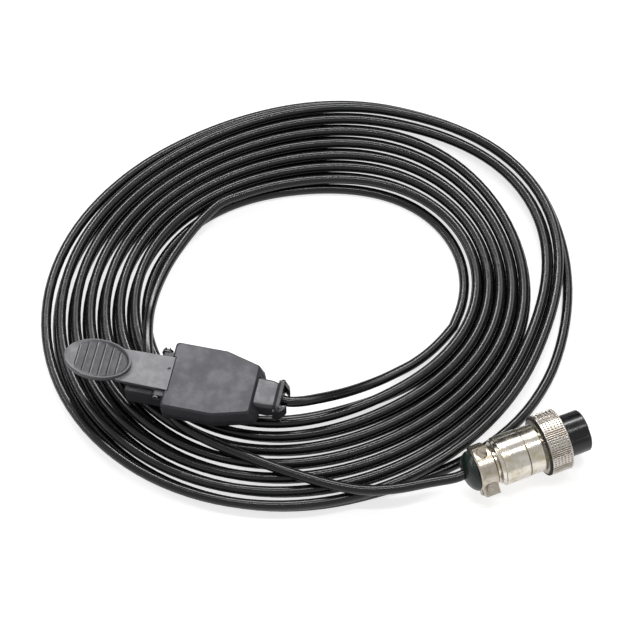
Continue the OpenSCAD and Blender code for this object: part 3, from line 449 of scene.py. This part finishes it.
cordSettings = {
    "diameter": 3.5 * mm,
    "groundZ": -17.41 * mm,
    "stepsPerTurn": 120,
    "stepsPerSpan": 8,
    "sideSteps": 5,
    "leadRoute": [
        (35.6, 0, 0), (38.6, 0.1, -0.1), (42.5, 1.8, -1.2), (46.5, 4.5, -3),
        (50.8, 7.9, -5.5), (55.5, 12, -8.3), (60.2, 16.4, -10.8), (65, 21, -12.8),
        (69.7, 25.8, -14.3), (74.2, 30.6, -15.4), (78.4, 36, -15.9), (82, 41.8, -16)],
    "tailRoute": [
        (-5, 77.2, -12.1), (-9.4, 69.4, -12.3), (-13, 60.5, -12.4), (-15.9, 50.8, -12.3),
        (-17.4, 40.5, -11.7), (-17.4, 31, -10.7), (-16, 22.5, -9.1), (-13.9, 14.5, -8.2),
        (-11.4, 7.5, -8.1), (-7.6, 0.2, -8.1), (-2.6, -6.5, -8.1), (4, -11.7, -8.1),
        (13.5, -15.2, -8.1), (25, -18, -8.1), (40.5, -21, -8.1), (56, -22.8, -8.1),
        (67.7, -22.6, -8), (77.8, -20.1, -7.7), (87.8, -16, -7.3)],
}

# The coil in mm and degrees: two guides, and where its turns lie closer, looser or further in
coilSettings = {
    "middle": (33.2, 51.3), "turns": 7, "layerGap": 0.45, "backAt": 150, "endAt": 133, "endShare": 0.06,
    "bedShare": 0.4, "climb": 180,
    "innerRadius": 48.8, "innerShift": 2.5, "innerShiftAt": -67, "innerOvalAt": 28, "innerTri": 1,
    "innerTriAt": 18, "outerRadius": 85.1, "outerShift": 3.1, "outerShiftAt": -78, "outerOvalAt": 39,
    "outerTri": 0.9, "outerTriAt": -42, "oval": 5.8,
    "drawIn": 1.4, "drawInAt": -15, "drawInHalf": 75,
    "crescentOut": 4.8, "crescentIn": 2.3, "crescentAt": 36, "crescentHalf": 44, "crescentFrom": 0.71,
    "crescentOver": 0.06, "crescentInner": 0.7,
    "looseOut": 6.4, "looseFrom": -66, "looseOver": 50, "looseTo": -12, "looseEndOver": 46,
    "firstIn": 1.8, "firstInAt": 290, "firstInHalf": 60, "firstInTo": 345,
    "startIn": 1.2, "startInOver": 70,
}


def smooth(value):
    held = max(0.0, min(1.0, value))
    return held * held * (3 - 2 * held)


def bell(angle, at, half):
    away = (angle - at + 180) % 360 - 180
    return math.cos(math.radians(90 * away / half)) ** 2 if abs(away) < half else 0.0


def cosine(degrees):
    return math.cos(math.radians(degrees))


def guideRadius(angle, side):
    c = coilSettings
    return (c[side + "Radius"] + c[side + "Shift"] * cosine(angle - c[side + "ShiftAt"])
            + c["oval"] * cosine(2 * (angle - c[side + "OvalAt"]))
            + c[side + "Tri"] * cosine(3 * (angle - c[side + "TriAt"])))


# The cord's middle at an angle along the whole coil: out in the lower layer, then back in the upper one
def coilPoint(angle):
    c = coilSettings
    back = c["backAt"] + 360 * c["turns"]
    end = c["endAt"] + 720 * c["turns"]
    share = angle / back if angle < back else 1 - (1 - c["endShare"]) * (angle - back) / (end - back)
    outside = smooth((share - c["crescentFrom"]) / c["crescentOver"])
    inner = guideRadius(angle, "inner")
    outer = guideRadius(angle, "outer") - c["drawIn"] * bell(angle, c["drawInAt"], c["drawInHalf"])
    radius = inner + (outer - inner) * share
    swing = c["crescentOut"] * outside - c["crescentIn"] * (1 - outside) * share / c["crescentInner"]
    radius += bell(angle, c["crescentAt"], c["crescentHalf"]) * swing
    late = angle - 360 * c["turns"]
    radius += (c["looseOut"] * smooth((late - c["looseFrom"]) / c["looseOver"])
               * (1 - smooth((late - c["looseTo"]) / c["looseEndOver"])))
    if angle < c["firstInTo"]:
        radius -= c["firstIn"] * bell(angle, c["firstInAt"], c["firstInHalf"])
    radius -= c["startIn"] * (1 - smooth(angle / c["startInOver"]))
    size = cordSettings["diameter"] / mm
    climbed = smooth((angle - back + c["climb"] / 2) / c["climb"])
    height = c["bedShare"] * size + (size + c["layerGap"]) * climbed
    turn = math.radians(angle)
    return Vector((c["middle"][0] + radius * math.cos(turn), c["middle"][1] + radius * math.sin(turn),
                   cordSettings["groundZ"] / mm + height)) * mm


# A smooth curve that passes through the points
def throughPoints(points, steps):
    made = []
    for i in range(len(points) - 1):
        a, b, c = points[max(i - 1, 0)], points[i], points[i + 1]
        d = points[min(i + 2, len(points) - 1)]
        for k in range(steps):
            t = k / steps
            made.append(0.5 * (2 * b + (c - a) * t + (2 * a - 5 * b + 4 * c - d) * t ** 2
                               + (3 * b - a - 3 * c + d) * t ** 3))
    return made + [points[-1]]


plugRear = Vector(plugSettings["rear"]) * mm
plugTurn = math.radians(plugSettings["turn"])
plugWay = Vector((math.cos(plugTurn), math.sin(plugTurn), 0))


def cordLine():
    size = cordSettings["diameter"]
    endAngle = coilSettings["endAt"] + 720 * coilSettings["turns"]
    count = round(endAngle * cordSettings["stepsPerTurn"] / 360)
    turning = [coilPoint(endAngle * i / count) for i in range(count + 1)]
    startWay = (coilPoint(1) - coilPoint(0)).normalized()
    endWay = (coilPoint(endAngle) - coilPoint(endAngle - 1)).normalized()
    coilStart = turning[0] - size * startWay
    coilEnd = turning[-1] + size * endWay
    lead = [Vector(p) * mm for p in cordSettings["leadRoute"]] + [coilStart]
    tail = [coilEnd + size / 2 * endWay] + [Vector(p) * mm for p in cordSettings["tailRoute"]]
    tail += [plugRear - size * plugWay, plugRear]
    line = throughPoints(lead, cordSettings["stepsPerSpan"]) + turning[1:]
    line += throughPoints([coilEnd] + tail, cordSettings["stepsPerSpan"])
    return line


def buildCord(line):
    data = bpy.data.curves.new("cord", "CURVE")
    data.dimensions = "3D"
    data.bevel_depth = cordSettings["diameter"] / 2
    data.bevel_resolution = cordSettings["sideSteps"]
    data.use_fill_caps = True
    spline = data.splines.new("POLY")
    spline.points.add(len(line) - 1)
    for point, place in zip(spline.points, line):
        point.co = (*place, 1)
    spline.use_smooth = True
    data.materials.append(cordJacket)
    return newObject("cord", data)


cordPlaces = cordLine()
cord = buildCord(cordPlaces)
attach(cord, "root")
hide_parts("cable_lead", "cable_coil", "cable_tail")


# The switch

# The pad in mm. Edge values are shares of the way from the dish's middle to its rim.
thumbPadSettings = {
    "middle": (-26.4, 0.0), "length": 22.6, "width": 14.4, "low": 2.82, "top": 6.0, "rim": 0.62,
    "ridges": 6, "ridgePitch": 2.75, "ridgeHeight": 0.46, "ridgeOffset": 0.15, "ridgePower": 1.6,
    "steep": 0.44, "gentle": 1.5, "crest": 0.38, "crestShare": 0.7, "crestGrowth": 0.35,
    "tipHeight": 0.7, "rootHeight": 0.3, "ridgeEnd": 0.83, "ridgeEndOver": 0.07, "sideEnd": 0.89,
    "crestEnd": 0.87, "dishHigh": 5.82, "dishLow": 5.0, "dishSlope": 0.62, "dishEnd": 0.985,
    "wallFrom": 0.91, "wallOver": 0.09, "wallDrop": 0.1, "stations": 420, "across": 28,
    "highlightShares": (0.4, 0.9), "highlightDrop": 0.2, "highlightFrom": -0.4,
}
# side is painted shade on the ridges' steep flanks, crest a painted highlight on ridge and rim crests,
# dish painted shade in the dish
padFinishes = {"rim": 0, "side": 1, "crest": 2, "dish": 3}      # in the order of the pad's materials


# The height of the dish with its ridges, and which finish is there: plain, painted shade or a painted
# highlight
def padDish(x, y, s):
    halfLong = s["length"] / 2
    edge = math.sqrt((x / (halfLong - s["rim"])) ** 2 + (y / (s["width"] / 2 - s["rim"])) ** 2)
    floor = s["dishHigh"] + (s["dishLow"] - s["dishHigh"]) * smooth(0.5 + s["dishSlope"] * x / halfLong)
    wall = smooth((edge - s["wallFrom"]) / s["wallOver"])
    first = -(s["ridges"] - 1) / 2 * s["ridgePitch"] + s["ridgeOffset"]
    lift = 0.0
    # painted shade over the dish, from the first ridge onwards
    finish = padFinishes["dish"] if edge < s["dishEnd"] and x > first else padFinishes["rim"]
    for i in range(s["ridges"]):
        away = x - first - i * s["ridgePitch"]
        if -s["steep"] < away < 0:      # toward the tip
            lift = 1 + away / s["steep"]
            # painted shade on the ridge's steep flank
            finish = padFinishes["side"] if edge < s["sideEnd"] else finish
        elif 0 <= away < s["gentle"]:
            lift = (1 - away / s["gentle"]) ** s["ridgePower"]
            # painted highlight along the ridge's crest
            litCrestWidth = s["crest"] * (s["crestShare"] + s["crestGrowth"] * i / s["ridges"])
            if away < litCrestWidth and edge < s["crestEnd"]:
                finish = padFinishes["crest"]
    lift *= s["ridgeHeight"] * (1 - smooth((edge - s["ridgeEnd"]) / s["ridgeEndOver"]))
    lift *= s["tipHeight"] + s["rootHeight"] * smooth(0.5 + x / halfLong)
    return floor + (s["top"] - s["wallDrop"] - floor) * wall + lift, finish


# The rim's section, from the dish outwards: shares of the rim's width, and heights
def rimSection(s):
    reach = s["top"] - s["low"]
    return [(0.25, s["top"] - 0.02), (0.55, s["top"]), (0.85, s["top"] - 0.10), (1.0, s["top"] - 0.32),
            (1.0, s["low"] + 0.45 * reach), (0.9, s["low"] + 0.28 * reach),
            (0.4, s["low"] + 0.12 * reach), (-0.3, s["low"] + 0.02), (-0.8, s["low"])]


def buildThumbPad():
    s = thumbPadSettings
    innerLong, innerWide = s["length"] / 2 - s["rim"], s["width"] / 2 - s["rim"]
    points, faces, finishes, rows = [], [], [], []
    across = s["across"]
    for i in range(1, s["stations"]):
        turn = math.pi * i / s["stations"]
        row = []
        for k in range(across + 1):
            x = -innerLong * math.cos(turn)
            y = innerWide * math.sin(turn) * (2 * k / across - 1)
            row.append(len(points))
            z, finish = padDish(x, y, s)
            points.append((x, y, z))
            finishes.append(finish)
        rows.append(row)
    tips = []
    for x in (-innerLong, innerLong):
        tips.append(len(points))
        points.append((x, 0, padDish(x, 0, s)[0]))
        finishes.append(padFinishes["rim"])
    for first, second in zip(rows, rows[1:]):
        for k in range(across):
            faces.append((first[k], second[k], second[k + 1], first[k + 1]))
    for k in range(across):
        faces.append((tips[0], rows[0][k], rows[0][k + 1]))
        faces.append((tips[1], rows[-1][k + 1], rows[-1][k]))
    loop = [tips[0]] + [row[0] for row in rows] + [tips[1]] + [row[-1] for row in reversed(rows)]
    ways = [(points[n][0] / innerLong, points[n][1] / innerWide) for n in loop]
    highlightIn, highlightOut = s["highlightShares"]
    for share, z in rimSection(s):
        ring = []
        # painted highlight along the top of the rim
        top = highlightIn < share < highlightOut and z > s["top"] - s["highlightDrop"]
        for wayX, wayY in ways:
            ring.append(len(points))
            out = share * s["rim"]
            points.append(((innerLong + out) * wayX, (innerWide + out) * wayY, z))
            finishes.append(padFinishes["crest" if top and wayX > s["highlightFrom"] else "rim"])
        for k in range(len(loop)):
            after = (k + 1) % len(loop)
            faces.append((loop[k], ring[k], ring[after], loop[after]))
        loop = ring
    faces.append(tuple(loop))
    placed = [((x + s["middle"][0]) * mm, (y + s["middle"][1]) * mm, z * mm) for x, y, z in points]
    pad = meshPiece("thumb_pad_looks", placed, faces, padPlastic)
    # The pad's painted shade and painted highlights go on as extra materials
    for material in (padFlankShadePlastic, padCrestHighlightPlastic, padDishShadePlastic):
        pad.data.materials.append(material)
    for polygon in pad.data.polygons:
        met = [finishes[v] for v in polygon.vertices]
        underside = len(met) > 4
        polygon.material_index = padFinishes["rim"] if underside else max(set(met), key=met.count)
    return pad


thumbPad = buildThumbPad()
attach(thumbPad, "lever")
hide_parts("thumb_pad")

# Node, material, slot, rounding in mm and its segments
for node, material, slotName, rounding, segments in (
        ("housing_cover", housingPlastic, "housing_grey", 0.35, 4),
        ("housing_base", housingPlastic, "housing_grey", 0.3, 3),
        ("lever", leverPlastic, "lever_grey", 0.22, 3),
        ("cable_boot", bootPlastic, "housing_grey", 0.35, 3),
        ("claw_collar", collarPlastic, "collar_grey", 0.3, 3),
        ("hinge_pin", pinSteel, "pin_steel", 0.1, 2)):
    dressNode(node, material, rounding * mm, segments)
for node, material in (
        ("pin_washer", darkSteel), ("pin_clip", darkSteel), ("return_spring", brightSteel),
        ("snap_case", blackPlastic), ("snap_lid", lidPlastic), ("plunger", plungerPlastic),
        ("contact_blade", contactBrass), ("snap_terminals", contactBrass), ("core_wires", redCore),
        ("inner_cable", cordJacket), ("clamp_bar", blackPlastic), ("clamp_bar_screws", brightSteel),
        ("housing_screws", brightSteel)):
    paintNode(node, material)
print("stage: switch dressed")


# The plug

# Maps places in mm along and round the plug, from its rear end, to the part's frame
plugFrame = Matrix.Translation(plugRear) @ Matrix.Rotation(plugTurn, 4, "Z") @ Matrix.Scale(mm, 4)


def lathePiece(name, outline, material, body, around, edge, radiusAt=None):
    points, faces = [], []
    for x, radius in outline:
        for k in range(around):
            turn = fullTurn * k / around
            r = radius if radiusAt is None else radiusAt(x, radius, turn)
            points.append(plugFrame @ Vector((x, r * math.cos(turn), r * math.sin(turn))))
    count = len(outline)
    for i in range(count):
        for k in range(around):
            a, b = i * around + k, i * around + (k + 1) % around
            c = (i + 1) % count * around
            faces.append((a, b, c + (k + 1) % around, c + k))
    piece = meshPiece(name, points, faces, material)
    if edge:
        roundEdges(piece, edge * mm, 3, dressSettings["latheSharpAngle"])
    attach(piece, body)
    return piece


# Outlines in mm: place along the plug and radius
sealSettings = {"around": 96, "rounding": 0.1, "outline": [
    (0.0, 1.80), (0.0, 2.55), (0.12, 2.85), (0.68, 4.4), (1.1, 5.05), (1.53, 5.65), (2.0, 6.1),
    (2.45, 6.5), (2.95, 6.75), (3.32, 6.85), (3.4, 6.6), (3.4, 4.05), (6.0, 4.05), (6.0, 1.80)]}
barrelSettings = {"around": 160, "rounding": 0.05, "seam": (20.5, 20.92), "seamInner": 7, "outline": [
    (8.6, 1.9), (8.6, 5.0), (11.1, 5.0), (11.1, 7.1), (11.3, 7.3), (12.15, 7.6), (12.25, 8.15),
    (12.45, 8.2), (20.5, 8.2), (20.54, 7.9), (20.88, 7.9), (20.92, 8.1), (25.9, 8.1), (26.2, 7.8),
    (26.2, 6.3), (28.8, 6.3), (28.8, 5.95), (29.6, 5.95), (29.6, 6.3), (31.1, 6.3), (31.1, 5.3),
    (12.2, 5.3), (12.2, 1.9)]}

seal = lathePiece("cable_seal_looks", sealSettings["outline"], sealRubber, "root",
                  sealSettings["around"], sealSettings["rounding"])
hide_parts("cable_seal")
barrel = lathePiece("barrel_looks", barrelSettings["outline"], plugNickel, "root",
                    barrelSettings["around"], barrelSettings["rounding"])
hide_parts("barrel")
barrel.data.materials.append(gripRecess)
alongPlug = plugFrame.inverted()
seamStart, seamEnd = barrelSettings["seam"]
for polygon in barrel.data.polygons:        # dirt in the seam between the barrel's two parts
    x, y, z = alongPlug @ polygon.center
    if seamStart < x < seamEnd and math.hypot(y, z) > barrelSettings["seamInner"]:
        polygon.material_index = 1

# The ring in mm: a band of patches by turns fluted and pitted, with teeth round its rear edge
gripSettings = {
    "start": 26.6, "end": 35.0, "radius": 10.3, "bore": 8.45, "webBore": 6.4, "web": 2.1,
    "skinDepth": 0.8, "rearEdge": [(0, 0.75), (0.25, 0.2)], "frontEdge": [(0.1, 0.3), (0, 0.55)],
    "boreEdge": 0.2, "boreEdgeDepth": 0.25, "skinFrom": 0.5, "skinTo": 0.35, "around": 900, "along": 52,
    "patches": 10, "patchTurn": 0.35, "patternFrom": 0.9, "patternTo": 0.8, "patternFade": 0.3,
    "fluteShare": 0.42, "flutesPerPatch": 4, "fluteDepth": 0.36, "dotRows": 4, "dotPitch": 1.15,
    "dotDepth": 0.30, "dotStretch": (0.95, 1.15), "dotSize": 0.14, "dotEdge": 0.16,
    "teeth": 60, "toothDepth": 0.504, "toothTo": 0.55, "toothFade": 0.35,
    "shadeTo": 0.8, "shadeFrom": 8.9, "recessFrom": 8.7, "recessDepth": 0.14, "recessTo": 0.5,
}


# The ring's radius where its outer skin is cut by a flute, a dot or a gap between teeth
def gripRadius(x, radius, turn):
    s = gripSettings
    if radius < s["radius"] - s["skinDepth"]:
        return radius
    across = (turn / fullTurn * s["patches"] + s["patchTurn"]) % 1.0
    inside = (smooth((x - s["start"] - s["patternFrom"]) / s["patternFade"])
              * (1 - smooth((x - s["end"] + s["patternTo"]) / s["patternFade"])))
    if across < s["fluteShare"]:
        flute = math.cos(fullTurn * across / s["fluteShare"] * s["flutesPerPatch"])
        depth = s["fluteDepth"] * inside * smooth(0.5 - flute)
    else:
        row = (across - s["fluteShare"]) / (1 - s["fluteShare"]) * s["dotRows"]
        column = (x - s["start"]) / s["dotPitch"]
        alongRow, alongColumn = s["dotStretch"]
        offset = math.hypot((row % 1.0 - 0.5) * alongRow, (column % 1.0 - 0.5) * alongColumn)
        depth = s["dotDepth"] * inside * (1 - smooth((offset - s["dotSize"]) / s["dotEdge"]))
    tooth = smooth(2 * abs((turn / fullTurn * s["teeth"]) % 1.0 - 0.5))
    rear = 1 - smooth((x - s["start"] - s["toothTo"]) / s["toothFade"])
    return radius - depth - s["toothDepth"] * tooth * rear


def gripOutline():
    s = gripSettings
    start, end, count = s["start"], s["end"], s["along"]
    length = end - start - s["skinFrom"] - s["skinTo"]
    rear = [(start, s["webBore"])] + [(start + x, s["radius"] - down) for x, down in s["rearEdge"]]
    skin = [(start + s["skinFrom"] + length * i / count, s["radius"]) for i in range(count + 1)]
    front = [(end - x, s["radius"] - down) for x, down in s["frontEdge"]]
    bore = [(end, s["bore"] + s["boreEdge"]), (end - s["boreEdgeDepth"], s["bore"]),
            (start + s["web"], s["bore"]), (start + s["web"], s["webBore"])]
    return rear + skin + front + bore


grip = lathePiece("coupling_ring_looks", gripOutline(), gripNickel, "coupling_ring",
                  gripSettings["around"], 0.0, gripRadius)
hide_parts("coupling_ring")
grip.data.materials.append(gripShade)
grip.data.materials.append(gripRecess)
shadeEnd = gripSettings["start"] + gripSettings["shadeTo"]
recessEnd = gripSettings["end"] - gripSettings["recessTo"]
recessOuter = gripSettings["radius"] - gripSettings["recessDepth"]
for polygon in grip.data.polygons:          # painted shade on the ring's rear edge and between its teeth, and a darker tone in the flutes and in the dots
    x, y, z = alongPlug @ polygon.center
    out = math.hypot(y, z)
    # painted shade: the rear chamfer and the gaps between the teeth go near black
    if x < shadeEnd and out > gripSettings["shadeFrom"]:
        polygon.material_index = 1
    elif gripSettings["recessFrom"] < out < recessOuter and x < recessEnd:
        polygon.material_index = 2

for node, material, slotName, rounding, segments in (
        ("contact_insert", insertPlastic, "insert_black", 0.28, 4),
        ("clamp_near", clampNickel, "plug_nickel", 0.3, 4),
        ("clamp_far", clampNickel, "plug_nickel", 0.3, 4),
        ("clamp_screws", clampNickel, "plug_nickel", 0.2, 3)):
    dressNode(node, material, rounding * mm, segments)
for node, material in (("plug_cable", cordJacket), ("plug_cores", redCore), ("barrel_screw", darkSteel),
                       ("socket_contacts", contactBrass), ("retaining_ring", brightSteel)):
    paintNode(node, material)
print("stage: plug dressed")


# Floor, world and lamps

# Heights are of the direction's Z, from -1 below to 1 overhead, and the back's width is of its Y
stageSettings = {
    "size": 6.0, "drop": 0.35 * mm, "paperColor": (0.62, 0.62, 0.62), "paperRough": 0.9,
    "paperShine": 0.1, "paperGlow": 0.72, "glossPaper": 0.55, "skyFill": 0.26, "overheadGloss": 0.42,
    "backGloss": 0.8, "frontGloss": 0.62, "darkGloss": 0.02, "bandGloss": 2.2,
    "darkHeight": (0.46, 0.58), "backWidth": (-0.05, 0.30), "overheadHeight": (0.72, 0.90),
    "bandLow": (0.60, 0.64), "bandHigh": (0.76, 0.82),
}


def lightPathShare(tree):
    path = tree.nodes.new("ShaderNodeLightPath")
    seen = mathNode(tree, "MAXIMUM", path.outputs["Is Camera Ray"], path.outputs["Is Transmission Ray"])
    return seen, path.outputs["Is Glossy Ray"]


def buildFloor():
    s = stageSettings
    z = cordSettings["groundZ"] - s["drop"]
    half = s["size"] / 2
    material = bpy.data.materials.new("floorPaper")
    material.use_nodes = True
    tree = material.node_tree
    shader = tree.nodes["Principled BSDF"]
    shader.inputs["Base Color"].default_value = (*s["paperColor"], 1)
    shader.inputs["Roughness"].default_value = s["paperRough"]
    shader.inputs["Specular IOR Level"].default_value = s["paperShine"]
    seen, glossy = lightPathShare(tree)
    glow = mathNode(tree, "MAXIMUM", mathNode(tree, "MULTIPLY", seen, s["paperGlow"]),
                    mathNode(tree, "MULTIPLY", glossy, s["glossPaper"]))
    shader.inputs["Emission Color"].default_value = (1, 1, 1, 1)
    link(tree, glow, shader.inputs["Emission Strength"])
    floor = meshPiece("floor", [(-half, -half, z), (half, -half, z), (half, half, z), (-half, half, z)],
                      [(0, 1, 2, 3)], material, False)


def buildWorld():
    s = stageSettings
    world = bpy.data.worlds.new("studio")
    bpy.context.scene.world = world
    world.use_nodes = True
    tree = world.node_tree
    seen, glossy = lightPathShare(tree)
    where = tree.nodes.new("ShaderNodeTexCoord").outputs["Generated"]
    parts = tree.nodes.new("ShaderNodeSeparateXYZ")
    link(tree, where, parts.inputs[0])
    high = parts.outputs["Z"]

    def between(share, first, second):
        return mathNode(tree, "MULTIPLY_ADD", share, mathNode(tree, "SUBTRACT", second, first), first)

    # What shiny surfaces see: dark behind the object up to a bright band, a grey lid and a grey front
    back = rampNode(tree, high, *s["darkHeight"], s["darkGloss"], s["backGloss"])
    share = rampNode(tree, parts.outputs["Y"], *s["backWidth"])
    around = between(share, s["frontGloss"], back)
    sky = between(rampNode(tree, high, *s["overheadHeight"]), around, s["overheadGloss"])
    band = mathNode(tree, "MULTIPLY", rampNode(tree, high, *s["bandLow"]),
                    rampNode(tree, high, *s["bandHigh"], 1.0, 0.0))
    sky = mathNode(tree, "MULTIPLY_ADD", mathNode(tree, "MULTIPLY", band, share), s["bandGloss"], sky)
    glossSky = mathNode(tree, "MULTIPLY", glossy, sky)
    neither = mathNode(tree, "SUBTRACT", 1.0, mathNode(tree, "MAXIMUM", seen, glossy))
    plain = mathNode(tree, "MULTIPLY", neither, s["skyFill"])
    total = mathNode(tree, "ADD", mathNode(tree, "ADD", seen, glossSky), plain)
    background = tree.nodes["Background"]
    background.inputs["Color"].default_value = (1, 1, 1, 1)
    link(tree, total, background.inputs["Strength"])


lampSettings = [
    {"name": "backSoftbox", "spot": (-0.12, 0.62, 0.66), "aim": (0.03, 0.05, 0),
     "size": (0.85, 0.07), "power": 4.6},
    {"name": "topStrip", "spot": (0.16, 0.05, 0.95), "aim": (0.04, 0.03, 0),
     "size": (0.05, 0.60), "power": 2.4},
    {"name": "leftStrip", "spot": (-0.70, -0.05, 0.45), "aim": (0.0, 0.03, 0),
     "size": (0.5, 0.04), "power": 1.0},
]


def addLamps():
    for s in lampSettings:
        data = bpy.data.lights.new(s["name"], "AREA")
        data.shape = "RECTANGLE"
        data.size, data.size_y = s["size"]
        data.energy = s["power"]
        lamp = newObject(s["name"], data)
        lamp.location = s["spot"]
        way = Vector(s["aim"]) - Vector(s["spot"])
        lamp.rotation_euler = way.to_track_quat("-Z", "Y").to_euler()


buildFloor()
buildWorld()
addLamps()
bpy.context.scene.view_settings.view_transform = "Standard"
print("stage: floor, world and lamps set")
